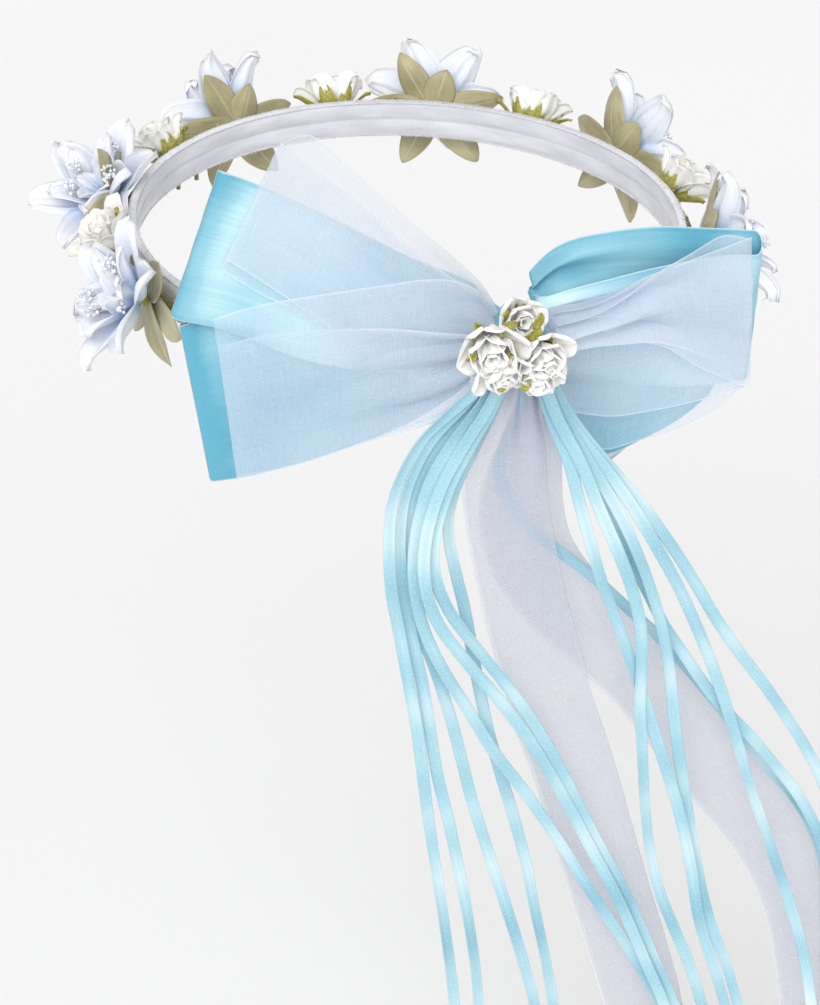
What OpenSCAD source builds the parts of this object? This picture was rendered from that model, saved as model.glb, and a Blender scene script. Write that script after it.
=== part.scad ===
// Flower crown: a satin-covered ring with a wired garland of silk flowers round it,
// a double bow at its front (-Y) and ribbon streamers that hang from the knot.
// Origin: middle of the ring, halfway up the band. +Z is up on the head.

/* [Band] */
// Radius of the opening for the head
head_r = 82; // [75:1:90]
// Thickness of the satin band
band_t = 3.5; // [3.2:0.1:4]
// Height of the satin band between its stitched edges
band_h = 11.5; // [10:0.5:14]
// Radius of each of the two hoops inside the band
hoop_r = 1; // [0.6:0.1:1.2]

/* [Garland] */
// Radius of the taped garland wire
wire_r = 1.2; // [0.8:0.1:1.3]
// Angle between neighbouring silk flowers
flower_step = 43; // [40:1:44]
// Distance from the middle of a silk flower to its petal tips
petal_reach = 22; // [19:1:23]
// Depth of curve of the outer petals, as the radius of their cup
petal_cup_r = 25; // [24:1:32]
// Length of a leaf
leaf_l = 24; // [18:1:26]
// Width of a leaf
leaf_w = 10; // [7:1:12]
// Radius of a paper rose
rose_r = 7.5; // [6:0.5:8]

/* [Bow] */
// Distance from the middle of the ring to the back of the bow
bow_y = 98; // [98:0.5:101]
// Fullness of each satin loop, front to back
satin_full = 6; // [4:0.5:6]
// Fullness of each organza loop, front to back
organza_full = 6.5; // [4:0.5:6.5]
// Width of the gathered knot
knot_w = 14; // [12:1:15]

/* [Ribbons] */
// Width of a narrow streamer
streamer_w = 4.7; // [3:0.1:5]
// Thickness of a narrow streamer
streamer_t = 0.5; // [0.3:0.1:0.5]
// Thickness of a folded organza tail
tail_t = 0.5; // [0.3:0.1:0.5]
// Radius of the thread that the bundles hang from
thread_r = 0.4; // [0.3:0.05:0.5]

/* [Hidden] */

$fn = 64;
aqua = "#9FD8E8";
organza_white = "#DDE4F2";
band_white = "#E2E1E7";
petal_white = "#DCE2F0";
leaf_green = "#8E8660";
paper_white = "#F5F3F0";
calyx_green = "#A8A04A";
thread_white = "#EEEEF0";

// Band
band_outer_r = head_r + band_t;
hoop_ring_r = head_r + band_t / 2;
hoop_z = band_h / 4;
hoop_gap = 0.15;
stitch_h = 0.6;
stitch_inset = [1, 0.3];
groove_r = 0.6;

// Garland
wire_ring_r = band_outer_r + 0.4 + wire_r;
flower_count = 8;
rose_count = 7;
tie_gap = 0.05;
tie_t = 0.25;
wire_end_angles = [125, 131];
wire_end_l = 11;
petal_t = 0.6;
petal_base = 5.4;
inner_cup_r = 13;
inner_cup_base = 6.2;
bow_flower_scale = 0.72;
bow_leaf_scale = 0.85;
bow_calyx_r = 1.3;
leaf_t = 0.5;
leaf_base = 2.1;
leaf_cup_r = 40;
leaf_start = 1.4;
leaf_layer = 0.8;
leaf_turns = [3, 62, 112, 176, 232, 304];
leaf_shift = 7;
rose_tilt = 45;
rose_centre = 9.5;
calyx_t = 0.6;
calyx_gap = 0.1;

// Bow: each loop is the shape seen from the front, cut to the shape seen from above
loop_start = knot_w / 2 + 0.3;
knot_back = 92;
knot_front = 110;
knot_z = [2, 34];
satin_plan = [
    [loop_start, -bow_y - 2.2], [24, -bow_y], [97, -bow_y],
    [97, -bow_y - 3.5], [60, -bow_y - satin_full], [24, -bow_y - satin_full], [loop_start, -bow_y - 4.6]
];
organza_back = bow_y + satin_full + 0.5;
organza_plan = [
    [loop_start, -organza_back], [97, -organza_back],
    [97, -organza_back - 3], [60, -organza_back - organza_full],
    [24, -organza_back - organza_full + 0.8], [loop_start, -organza_back - 2]
];
satin_left_upper = [[-5, 16.5], [-5, 28], [-40, 49], [-72, 69], [-80, 74], [-88, 52], [-94, 32.8]];
satin_left_lower = [[-5, 15.5], [-93.5, 31.6], [-84.5, -18], [-77, -18], [-45, -12], [-14, -1], [-5, 2]];
satin_right_upper = [[5, 15.3], [5, 31], [14, 38.5], [24, 43], [41.5, 45], [71, 41], [71.5, 31], [69, 20.3]];
satin_right_lower = [
    [5, 14.6], [68.7, 19.6], [61, 5], [56, -14], [41, -22], [29, -26], [20, -19], [11, -4], [5, 2]
];
organza_left_upper = [
    [-5, 17.5], [-5, 33], [-29, 56.5], [-49, 73], [-65, 84], [-72, 82], [-81, 51], [-85, 37.5]
];
organza_left_lower = [[-5, 16.5], [-85, 36.4], [-79, -14], [-61, -11], [-33, -4], [-15, 4], [-5, 6]];
organza_right_upper = [[5, 16], [5, 32], [14, 35.5], [34, 39.5], [63, 45], [66, 31], [68, 23]];
organza_right_lower = [
    [5, 15.2], [67.8, 22.2], [67, -4.5], [53, -10], [43, -17], [32, -10], [17, -7], [9, 2], [5, 5]
];

// Paper flowers on the knot: place of the middle, and radius
paper_left = [-12.5, -125, 24.8];
paper_right = [3.1, -125, 19.3];
paper_top = [-2.8, -116.8, 33];
paper_left_r = 7.6;
paper_right_r = 7.3;
paper_top_r = 5.6;

// Pivot of the hanging bundles, and the ties that gather them
pivot = [0, -114.5, 12];
bar_x = [-14.5, 8.5];
bore_gap = 0.05;
bar_gap = 0.1;
hanger_depth = 6;
tie_y = [-118, -111.3];
tie_z = [10.4, 13.8];
left_tie_x = [-15.5, -1.5];
right_tie_x = [1.5, 9.5];

// Ribbons lie in layers, front to back, that fan apart below the knot
layer_front_y = -117.7;
layer_step = 0.65;
layer_front_y_low = -123;
layer_step_low = 1.3;
fan_top = 4;
fan_bottom = -50;

// Routes of the streamers, seen from the front, from the tie to the free end: [x, z]
route_left_1 = [
    [-12.5, 10.4], [-20.5, 3.5], [-30, -6], [-36.5, -20], [-38, -34], [-37, -50], [-34, -66],
    [-31, -82], [-28, -98], [-25.5, -115], [-23, -133], [-19.5, -155], [-15.5, -180],
    [-12, -205], [-9, -235], [-7, -270], [-6, -305], [-6, -335], [-6, -357]
];
route_left_2 = [
    [-11.5, 10.4], [-18.5, 3], [-27, -7], [-33, -21], [-34.5, -36], [-33, -52], [-30, -68],
    [-26.5, -84], [-23.5, -101], [-20.5, -118], [-16, -137], [-12, -156], [-8.5, -174],
    [-5, -196], [-2, -225], [0, -260], [1, -295], [1.5, -330], [1.5, -356]
];
route_left_3 = [
    [-10.5, 10.4], [-16, 2.5], [-23, -7], [-29, -20], [-32, -35], [-31.5, -49], [-28.5, -63],
    [-23, -79], [-18, -95], [-13.5, -112], [-9, -130], [-3, -150], [4, -173],
    [11, -197], [17, -222], [21, -255], [23, -290], [24, -325], [24, -352]
];
route_left_4 = [
    [-9.5, 10.4], [-14, 2.5], [-21, -7], [-27, -18], [-30.5, -32], [-31, -46], [-28, -62],
    [-22, -77], [-13.5, -93], [-4, -111], [8, -130], [20, -151], [33, -175],
    [46, -198], [56, -220], [63, -248], [67, -280], [69, -315], [69, -341]
];
route_left_5 = [
    [-8.5, 10.4], [-12, 2.5], [-18, -7], [-24.5, -19], [-28.5, -33], [-28.5, -47], [-24, -61],
    [-14.5, -76], [-4, -91], [6, -107], [16.5, -127], [27, -149], [38, -172],
    [49, -199], [58, -222], [64, -250], [68, -282], [70, -315], [70, -339]
];
route_left_6 = [
    [-7.5, 10.4], [-10.5, 2], [-15.5, -7.5], [-21.5, -19], [-25.5, -32], [-25.5, -44.5], [-20.5, -58],
    [-11, -73], [-1, -88], [8.5, -104], [19, -125], [29.5, -148], [41, -172],
    [52.5, -200], [62, -224], [68, -252], [72, -283], [74, -316], [74, -339]
];
route_left_7 = [
    [-5.5, 10.4], [-8.5, 1], [-13, -10], [-18, -22], [-20, -34], [-17.5, -48], [-14, -62],
    [-11, -77], [-8, -92], [-4.5, -107], [0, -123], [5, -140], [10, -159],
    [14, -178], [19, -200], [24, -228], [27, -260], [29, -295], [30, -330], [30, -353]
];
route_right_1 = [
    [3.9, 10.4], [7.5, -1], [13, -15], [16.5, -28], [20.5, -42], [25, -56], [30.5, -70],
    [36, -85], [41, -99], [46.5, -115], [52, -131], [57, -147], [61.5, -165],
    [66, -186], [73, -207], [80, -230], [86, -260], [90, -295], [92, -330], [92, -347]
];
route_right_2 = [
    [4.4, 10.4], [9.5, -2], [16.5, -16], [22.5, -31], [28.5, -45], [33.5, -58], [37, -71],
    [38.5, -85], [39, -99], [41, -115], [43, -132], [46, -151], [50.5, -169],
    [57, -186], [65, -206], [72, -230], [77, -260], [80, -295], [81, -330], [81, -350]
];
route_right_3 = [
    [4.9, 10.4], [11, -2.5], [20, -18], [28.5, -33], [35, -47], [40.5, -61], [45, -75],
    [48.5, -90], [51, -105], [54, -121], [57.5, -137], [61, -153], [65, -170],
    [70.5, -189], [78, -209], [85, -232], [91, -262], [95, -297], [97, -332], [97, -344]
];
route_right_4 = [
    [5.4, 10.4], [13, -4], [24, -19], [34, -34], [42, -48], [49.5, -62], [56.5, -77],
    [62, -90], [67, -103], [73, -120], [79, -138], [85.5, -155], [91, -170],
    [97, -186], [104, -207], [110, -232], [115, -262], [118, -297], [119, -341]
];
route_right_5 = [
    [6.2, 10.4], [15, -5], [26.5, -20.5], [37, -34], [46.5, -48], [55, -62], [63, -76],
    [71.5, -89], [80, -101], [88.5, -114], [97, -128], [105, -144], [112, -164],
    [117, -188], [121, -215], [124, -245], [126, -278], [127, -305], [127, -334]
];
route_right_6 = [
    [7, 10.4], [12, -6], [19, -21], [26.5, -35], [34, -50], [41, -64], [47.5, -77],
    [55, -89], [62, -100], [70, -111], [79, -122], [88, -134], [97, -147],
    [105, -162], [112, -181], [117, -205], [121, -235], [124, -268], [125, -300], [125, -336]
];
route_right_7 = [
    [3.9, 10.4], [-1, -2], [-4.5, -14], [-4, -24], [0, -33], [7, -42], [16, -50.5],
    [27, -61], [38, -73], [48, -84], [58, -96.5], [68, -110], [78, -124],
    [88, -138], [98, -151], [107, -167], [114, -187], [119, -212], [122, -240],
    [124, -272], [125, -305], [125, -323]
];
// Routes of the two organza tails, with the width at each point: [x, z, width]
route_tail_centre = [
    [-1.5, 10.4, 9], [-2.5, -1, 16], [-3.5, -12, 23], [-3.5, -24, 25], [-1.5, -38, 25], [2, -54, 25],
    [6, -70, 25], [11, -86, 25], [15.5, -103, 25], [21.5, -120, 25], [27, -137, 25], [33, -157, 25],
    [40, -180, 25], [48, -205, 25], [55, -230, 25], [60, -260, 25], [63, -295, 25], [65, -330, 25],
    [65, -352, 25]
];
route_tail_right = [
    [5.5, 10.4, 7], [4, -5, 14], [3, -20, 22], [3.5, -36, 25], [8, -52, 25], [18, -68, 25],
    [32.5, -84, 25], [47, -101, 25], [60, -119, 25], [72, -137, 25], [85, -155, 25], [97, -174, 25],
    [107, -197, 25], [114, -224, 25], [119, -254, 25], [122, -285, 25], [123, -310, 25], [123, -332, 25]
];

function step_smoothly(t) = t <= 0 ? 0 : t >= 1 ? 1 : t * t * (3 - 2 * t);
function fan(z) = step_smoothly((fan_top - z) / (fan_top - fan_bottom));
function layer_y(z, top, low) = top + (low - top) * fan(z);
function bundle_y(z, layer) = layer_y(
    z, layer_front_y + layer_step * layer, layer_front_y_low + layer_step_low * layer
);
function between(a, b, c, d, t) =
    0.5 * (2 * b + (c - a) * t + (2 * a - 5 * b + 4 * c - d) * t * t + (3 * b - a - 3 * c + d) * t * t * t);
function smoothed(points) = let(last = len(points) - 1) [
    for (i = [0 : last - 1], t = [0, 0.5])
        between(points[max(i - 1, 0)], points[i], points[i + 1], points[min(i + 2, last)], t),
    points[last]
];
// Unit vector across the ribbon at point i of a route; the top edge is level
function across(points, i) = i == 0 ? [1, 0] :
    let(
        last = len(points) - 1,
        run = points[min(i + 1, last)] - points[i - 1],
        length = sqrt(run.x * run.x + run.y * run.y)
    ) [-run.y / length, run.x / length];

// A flat ribbon: points are [x, y, z], sides are unit vectors across it, section is its outline
module ribbon(points, sides, widths, thickness, section) {
    corners = len(section);
    rings = len(points);
    vertices = [
        for (i = [0 : rings - 1], corner = section)
            points[i] + [
                sides[i].x * corner.x * widths[i], corner.y * thickness, sides[i].y * corner.x * widths[i]
            ]
    ];
    walls = [
        for (i = [0 : rings - 2], k = [0 : corners - 1])
            let(a = i * corners + k, b = i * corners + (k + 1) % corners)
                each [[a, b, b + corners], [a, b + corners, a + corners]]
    ];
    top = [for (k = [1 : corners - 2]) [0, k + 1, k]];
    end = [for (k = [1 : corners - 2]) let(c = (rings - 1) * corners) [c, c + k, c + k + 1]];
    polyhedron(points = vertices, faces = concat(walls, top, end), convexity = 6);
}
rounded_section = [
    [0.5, 0.25], [0.42, 0.5], [-0.42, 0.5], [-0.5, 0.25], [-0.5, -0.25], [-0.42, -0.5], [0.42, -0.5], [0.5, -0.25]
];
flat_section = [[0.5, 0.5], [-0.5, 0.5], [-0.5, -0.5], [0.5, -0.5]];

module streamer_at(route, top, low) {
    line = smoothed(route);
    points = [for (p = line) [p.x, layer_y(p.y, top, low), p.y]];
    sides = [for (i = [0 : len(line) - 1]) across(line, i)];
    widths = [for (p = line) streamer_w];
    color(aqua) ribbon(points, sides, widths, streamer_t, rounded_section);
}
// A streamer of a bundle lies in one of its layers, 0 at the front
module streamer(route, layer) {
    streamer_at(route, bundle_y(fan_top, layer), bundle_y(fan_bottom, layer));
}
module tail(route, top, low) {
    line = smoothed(route);
    points = [for (p = line) [p.x, layer_y(p.y, top, low), p.y]];
    sides = [for (i = [0 : len(line) - 1]) across(line, i)];
    widths = [for (p = line) p.z];
    color(organza_white) ribbon(points, sides, widths, tail_t, flat_section);
}

// Straight round rod from one point to another
module rod(from, to, r) {
    run = to - from;
    length = norm(run);
    translate(from) rotate([0, acos(run.z / length), atan2(run.y, run.x)]) cylinder(h = length, r = r);
}

// Places children on the garland wire, with their own +Z pointing out from the ring
module on_wire(angle, tilt = 0) {
    rotate([0, 0, angle]) translate([wire_ring_r, 0, 0]) rotate([0, 90 - tilt, 0]) children();
}
function flower_angle(i) = 90 + flower_step * (i - (flower_count - 1) / 2);
function rose_angle(i) = 90 + flower_step * (i - (rose_count - 1) / 2);
// The first and last flowers lie behind the bow and are smaller
function behind_bow(i) = i == 0 || i == flower_count - 1;
function flower_scale(i) = behind_bow(i) ? bow_flower_scale : 1;

// Band
module core_hoops() {
    color("silver") for (side = [-1, 1])
        translate([0, 0, side * hoop_z]) rotate_extrude() translate([hoop_ring_r, 0]) circle(hoop_r);
}
module satin_sleeve() {
    color(band_white) rotate_extrude($fn = 96) difference() {
        translate([head_r, -band_h / 2]) square([band_t, band_h]);
        for (side = [-1, 1]) translate([hoop_ring_r, side * hoop_z]) circle(hoop_r + hoop_gap);
        translate([band_outer_r, 0]) circle(groove_r);
    }
}
module edge_stitch(z) {
    color(thread_white) translate([0, 0, z])
        rotate_extrude($fn = 96) translate([head_r + stitch_inset[0], 0])
            square([band_t - stitch_inset[0] - stitch_inset[1], stitch_h]);
}
module top_edge_stitch() {
    edge_stitch(band_h / 2);
}
module bottom_edge_stitch() {
    edge_stitch(-band_h / 2 - stitch_h);
}

// Garland
module garland_wire() {
    color(leaf_green) {
        rotate_extrude() translate([wire_ring_r, 0]) circle(wire_r);
        for (angle = wire_end_angles) rotate([0, 0, angle])
            translate([wire_ring_r, 0, -wire_end_l]) cylinder(h = wire_end_l - wire_r - 0.1, r = 0.7);
    }
}
module garland_ties() {
    tie_in = wire_r + tie_gap;
    color(thread_white) for (i = [0 : 2 * rose_count - 1])
        rotate([0, 0, 90 + flower_step / 2 * (i - rose_count + 0.5) - 0.5])
            rotate_extrude(angle = 1) translate([wire_ring_r, 0]) difference() {
                circle(tie_in + tie_t);
                circle(tie_in);
            }
}
// Outline of five petals seen from the front
module five_petals(reach) {
    petal_r = reach * 0.43;
    circle(reach * 0.5);
    for (i = [0 : 4]) rotate(72 * i) translate([reach - petal_r, 0]) circle(petal_r);
}
// A cup of petals, its lowest point at z = base
module petal_cup(cup_r, base, reach) {
    intersection() {
        translate([0, 0, base + cup_r]) difference() {
            sphere(cup_r);
            sphere(cup_r - petal_t);
        }
        translate([0, 0, base - 1]) linear_extrude(cup_r) five_petals(reach);
    }
}
module petals(i) {
    color(petal_white) on_wire(flower_angle(i)) scale(flower_scale(i)) {
        petal_cup(petal_cup_r, petal_base, petal_reach);
        rotate(36) petal_cup(inner_cup_r, inner_cup_base, petal_reach * 0.54);
    }
}
// One leaf along +Y from the stem, curved away from the ring
module leaf(length, width, base) {
    arc_r = (length * length + width * width) / (4 * width);
    intersection() {
        translate([0, leaf_start + length / 2, 0]) linear_extrude(20) intersection() {
            translate([arc_r - width / 2, 0]) circle(arc_r);
            translate([width / 2 - arc_r, 0]) circle(arc_r);
        }
        translate([0, 0, base + leaf_cup_r]) difference() {
            sphere(leaf_cup_r);
            sphere(leaf_cup_r - leaf_t);
        }
    }
}
// Leaves fan round the stem in two layers, so that neighbours stay apart
module leaves(i) {
    color(leaf_green) on_wire(flower_angle(i))
        for (k = [0 : len(leaf_turns) - 1]) rotate(leaf_turns[k] + leaf_shift * (i % 3 - 1)) leaf(
            (leaf_l - 1.5 * (k % 3)) * (behind_bow(i) ? bow_leaf_scale : 1),
            leaf_w - (k % 2), leaf_base + leaf_layer * (k % 2)
        );
}
module flower_stems() {
    stem_top = 3.2;
    color(calyx_green) for (i = [0 : flower_count - 1]) on_wire(flower_angle(i)) {
        start = wire_r + 0.05;
        calyx_top = petal_base * flower_scale(i) - 0.2;
        translate([0, 0, start]) cylinder(h = stem_top - start, r = 0.8);
        translate([0, 0, min(stem_top, calyx_top - 1.4)])
            cylinder(h = 1.4, r1 = 0.8, r2 = behind_bow(i) ? bow_calyx_r : 2);
    }
}
module stamen() {
    cylinder(h = 9, r = 0.3);
    translate([0, 0, 9.6]) sphere(0.9);
}
module stamen_sprays() {
    color(thread_white) for (i = [0 : flower_count - 1]) on_wire(flower_angle(i)) scale(flower_scale(i))
        for (k = [0 : 4]) rotate(72 * k + 20) translate([1.3, 0, inner_cup_base + petal_t + 0.5])
            rotate([0, 14 + 3 * (k % 3), 0]) stamen();
}

// A rolled paper rose about the origin: two cups and a bud that join at the bottom
module paper_rose(r) {
    color(paper_white) {
        rose_cup(r, -r, 0.25 * r);
        rose_cup(0.66 * r, -r + 0.45, 0.55 * r);
        translate([0, 0, -0.42 * r]) sphere(0.46 * r);
    }
}
module rose_cup(r, bottom, rim) {
    wall = 0.9;
    difference() {
        translate([0, 0, bottom + r]) sphere(r);
        translate([0, 0, bottom + r]) sphere(r - wall);
        translate([-2 * r, -2 * r, rim]) cube(4 * r);
    }
}
// The green cup under a paper rose, with two small side leaves
module rose_calyx(r, leaf_length) {
    shell_r = r + calyx_gap;
    color(calyx_green) {
        difference() {
            sphere(shell_r + calyx_t);
            sphere(shell_r);
            translate([-2 * r, -2 * r, -0.55 * r]) cube(4 * r);
        }
        for (side = [0, 180]) rotate(side)
            translate([0, 0.67 * r, -sqrt(shell_r * shell_r - 0.45 * r * r) - 0.3])
                rotate(90) translate([0, -1.5, -0.25]) cube([leaf_length, 3, 0.5]);
    }
}
module paper_roses() {
    for (i = [0 : rose_count - 1]) on_wire(rose_angle(i), rose_tilt)
        translate([0, 0, rose_centre]) paper_rose(rose_r);
}
module rose_calyxes() {
    for (i = [0 : rose_count - 1]) on_wire(rose_angle(i), rose_tilt)
        translate([0, 0, rose_centre]) rose_calyx(rose_r, 9);
}

// Bow
module loop(front, plan, side) {
    intersection() {
        rotate([90, 0, 0]) linear_extrude(130) polygon(front);
        translate([0, 0, -60]) linear_extrude(160) polygon([for (p = plan) [side * p.x, p.y]]);
    }
}
module satin_loop_left_upper() {
    color(aqua) loop(satin_left_upper, satin_plan, -1);
}
module satin_loop_left_lower() {
    color(aqua) loop(satin_left_lower, satin_plan, -1);
}
module satin_loop_right_upper() {
    color(aqua) loop(satin_right_upper, satin_plan, 1);
}
module satin_loop_right_lower() {
    color(aqua) loop(satin_right_lower, satin_plan, 1);
}
module organza_loop_left_upper() {
    color(organza_white) loop(organza_left_upper, organza_plan, -1);
}
module organza_loop_left_lower() {
    color(organza_white) loop(organza_left_lower, organza_plan, -1);
}
module organza_loop_right_upper() {
    color(organza_white) loop(organza_right_upper, organza_plan, 1);
}
module organza_loop_right_lower() {
    color(organza_white) loop(organza_right_lower, organza_plan, 1);
}
module knot_wrap() {
    corner = 2.5;
    color(organza_white) difference() {
        translate([0, -knot_back, 0]) rotate([90, 0, 0]) linear_extrude(knot_front - knot_back) {
            translate([-knot_w / 2 + corner, knot_z[0]]) square([knot_w - 2 * corner, knot_z[1] - knot_z[0]]);
            translate([-knot_w / 2, knot_z[0] + corner]) square([knot_w, knot_z[1] - knot_z[0] - 2 * corner]);
            for (x = [-1, 1], z = [knot_z[0] + corner, knot_z[1] - corner])
                translate([x * (knot_w / 2 - corner), z]) circle(corner);
        }
        translate([0, -knot_front + hanger_depth + 0.2, pivot.z]) rotate([90, 0, 0])
            cylinder(h = hanger_depth + 1, r = thread_r + bore_gap);
    }
}
module bow_threads() {
    thread_z = band_h / 2 - 1.2;
    color(thread_white) for (x = [-4, 0, 4]) {
        from = sqrt(band_outer_r * band_outer_r - x * x) + 0.05;
        rod([x, -from, thread_z], [x, -knot_back + 0.05, thread_z], 0.5);
    }
}
// Turns children so that their own +Z points to the front
module facing_front(place) {
    translate(place) rotate([90, 0, 0]) children();
}
module paper_flower_left() {
    facing_front(paper_left) paper_rose(paper_left_r);
}
module paper_flower_right() {
    facing_front(paper_right) paper_rose(paper_right_r);
}
module paper_flower_top() {
    facing_front(paper_top) paper_rose(paper_top_r);
}
module paper_flower_calyxes() {
    facing_front(paper_left) rotate(30) rose_calyx(paper_left_r, 4.5);
    facing_front(paper_right) rotate(70) rose_calyx(paper_right_r, 4.5);
    facing_front(paper_top) rotate(100) rose_calyx(paper_top_r, 4);
    color(calyx_green) {
        rod([-5.5, -knot_front - 0.4, 23], paper_left + [0.6, paper_left_r + 0.4, -0.2], 0.7);
        rod([2.5, -knot_front - 0.4, 19.3], paper_right + [0, paper_right_r + 0.4, 0], 0.7);
    }
}

// Hanging ribbons
module hanger_thread() {
    color(thread_white) {
        translate([0, -knot_front + hanger_depth, pivot.z]) rotate([90, 0, 0])
            cylinder(h = hanger_depth - knot_front - pivot.y, r = thread_r);
        translate([bar_x[0], pivot.y, pivot.z]) rotate([0, 90, 0])
            cylinder(h = bar_x[1] - bar_x[0], r = thread_r);
    }
}
module bundle_tie(x) {
    width = tie_y[1] - tie_y[0];
    height = tie_z[1] - tie_z[0];
    color(aqua) difference() {
        translate([x[0], tie_y[0], tie_z[0]]) cube([x[1] - x[0], width, height]);
        translate([x[0] - 1, pivot.y, pivot.z]) rotate([0, 90, 0])
            cylinder(h = x[1] - x[0] + 2, r = thread_r + bar_gap);
    }
}
module left_bundle_tie() {
    bundle_tie(left_tie_x);
}
module right_bundle_tie() {
    bundle_tie(right_tie_x);
}
module organza_tail_centre() {
    tail(route_tail_centre, -113.1, -113.4);
}
module organza_tail_right() {
    tail(route_tail_right, -111.7, -108);
}

core_hoops();
satin_sleeve();
top_edge_stitch();
bottom_edge_stitch();
garland_wire();
garland_ties();
flower_stems();
stamen_sprays();
for (i = [0 : flower_count - 1]) {
    petals(i);
    leaves(i);
}
paper_roses();
rose_calyxes();
satin_loop_left_upper();
satin_loop_left_lower();
satin_loop_right_upper();
satin_loop_right_lower();
organza_loop_left_upper();
organza_loop_left_lower();
organza_loop_right_upper();
organza_loop_right_lower();
knot_wrap();
bow_threads();
paper_flower_left();
paper_flower_right();
paper_flower_top();
paper_flower_calyxes();
hanger_thread();
left_bundle_tie();
right_bundle_tie();
organza_tail_centre();
organza_tail_right();
streamer(route_left_1, 3);  // streamer_left_1
streamer(route_left_2, 4);  // streamer_left_2
streamer(route_left_3, 5);  // streamer_left_3
streamer(route_left_4, 2);  // streamer_left_4
streamer(route_left_5, 0);  // streamer_left_5
streamer(route_left_6, 1);  // streamer_left_6
streamer(route_left_7, 6);  // streamer_left_7
streamer(route_right_1, 1);  // streamer_right_1
streamer(route_right_2, 0);  // streamer_right_2
streamer(route_right_3, 2);  // streamer_right_3
streamer(route_right_4, 3);  // streamer_right_4
streamer(route_right_5, 4);  // streamer_right_5
streamer(route_right_6, 5);  // streamer_right_6
streamer_at(route_right_7, -112.4, -110.7);  // streamer_right_7
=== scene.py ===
"""Looks of the flower crown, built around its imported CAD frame.

Everything is in metres in the row frame: origin in the middle of the ring, +Z up on the head,
-Y the front, where the bow sits. Sizes below are written in millimetres and scaled once by MM.
"""

from math import cos, pi, radians, sin

import bpy
import numpy as np
from mathutils import Matrix, Vector


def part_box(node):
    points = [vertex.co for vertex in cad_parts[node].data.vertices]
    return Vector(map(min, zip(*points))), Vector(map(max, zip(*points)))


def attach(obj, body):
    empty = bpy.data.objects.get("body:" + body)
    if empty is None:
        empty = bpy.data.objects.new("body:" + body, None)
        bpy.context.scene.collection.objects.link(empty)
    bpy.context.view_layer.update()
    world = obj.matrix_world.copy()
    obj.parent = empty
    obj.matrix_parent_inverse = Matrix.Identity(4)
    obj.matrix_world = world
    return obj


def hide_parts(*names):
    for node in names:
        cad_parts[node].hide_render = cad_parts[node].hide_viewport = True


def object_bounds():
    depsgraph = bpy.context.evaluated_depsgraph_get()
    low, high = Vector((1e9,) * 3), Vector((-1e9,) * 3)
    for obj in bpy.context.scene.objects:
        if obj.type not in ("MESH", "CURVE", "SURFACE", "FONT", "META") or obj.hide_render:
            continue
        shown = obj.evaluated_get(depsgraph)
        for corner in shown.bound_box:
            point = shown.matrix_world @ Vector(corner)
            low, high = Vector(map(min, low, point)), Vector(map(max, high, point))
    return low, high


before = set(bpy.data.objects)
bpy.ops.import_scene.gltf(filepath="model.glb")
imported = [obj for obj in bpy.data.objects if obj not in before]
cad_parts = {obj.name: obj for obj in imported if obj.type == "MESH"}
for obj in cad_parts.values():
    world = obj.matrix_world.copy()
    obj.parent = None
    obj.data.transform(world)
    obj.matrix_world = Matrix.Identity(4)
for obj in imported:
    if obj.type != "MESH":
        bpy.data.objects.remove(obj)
cad_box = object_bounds()
MM = 0.001

# Sizes as in the CAD source, except those named below as this script's own
HEAD_R = 82
BAND_T = 3.5
BAND_H = 11.5
WIRE_RING_R = 87.1
FLOWER_COUNT = 8
ROSE_COUNT = 7
FLOWER_STEP = 43
BOW_FLOWER_SCALE = 0.72
BOW_LEAF_SCALE = 0.85
LEAF_L = 24
LEAF_W = 10
LEAF_TURNS = (3, 62, 112, 176, 232, 304)
LEAF_SHIFT = 7
ROSE_R = 7.5
ROSE_TILT = 45
ROSE_CENTRE = 9.5
STREAMER_W = 4.7
TAIL_W = 25
RIBBON_W = 50

# Sizes of this script's own
STREAMER_FACE_W = 3.6       # the shown ribbon curls in from its flat width
ROSE_SINK = 1.5             # how far the roses settle on the garland
SHORT_LEAF = 2              # the leaf of each six that is cut short, and its share of the length
SHORT_LEAF_SHARE = 0.72
WIDER_LEAF = 1.5            # how much wider than in the CAD the cupped leaves are cut
LEAF_LIFT, LEAF_LAYER = 2.1, 0.8
PETAL_T, LEAF_T, CREPE_T, PAPER_T = 0.18, 0.3, 0.2, 0.16


# ---------------------------------------------------------------- small maths

def smooth_step(t):
    t = np.clip(t, 0, 1)
    return t * t * (3 - 2 * t)


def curve_through(points, steps):
    """A Catmull-Rom curve through the points, with this many steps to each stretch."""
    points = np.array(points, float)
    last = len(points) - 1
    curve = []
    for i in range(last):
        a, b = points[max(i - 1, 0)], points[i]
        c, d = points[i + 1], points[min(i + 2, last)]
        for k in range(steps):
            t = k / steps
            bend = (2 * a - 5 * b + 4 * c - d) * t * t + (3 * b - a - 3 * c + d) * t ** 3
            curve.append(0.5 * (2 * b + (c - a) * t + bend))
    return np.array(curve + [points[last]])


def run_along(points):
    """Distance along a line of points, from its first point."""
    return np.concatenate([[0], np.cumsum(np.linalg.norm(np.diff(points, axis=0), axis=1))])


def evenly(points, count):
    """This many points, evenly spaced along the smooth curve through the given ones."""
    curve = curve_through(points, 12)
    run = run_along(curve)
    at = np.linspace(0, run[-1], count)
    return np.stack([np.interp(at, run, curve[:, k]) for k in range(curve.shape[1])], 1)


def directions(points):
    """Unit vector along a line at each of its points."""
    step = np.gradient(points, axis=0)
    return step / np.linalg.norm(step, axis=1)[:, None]


def moved(matrix, points):
    """An array of points carried by a 4 x 4 matrix."""
    a = np.array(matrix, float)
    return np.asarray(points) @ a[:3, :3].T + a[:3, 3]


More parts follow.
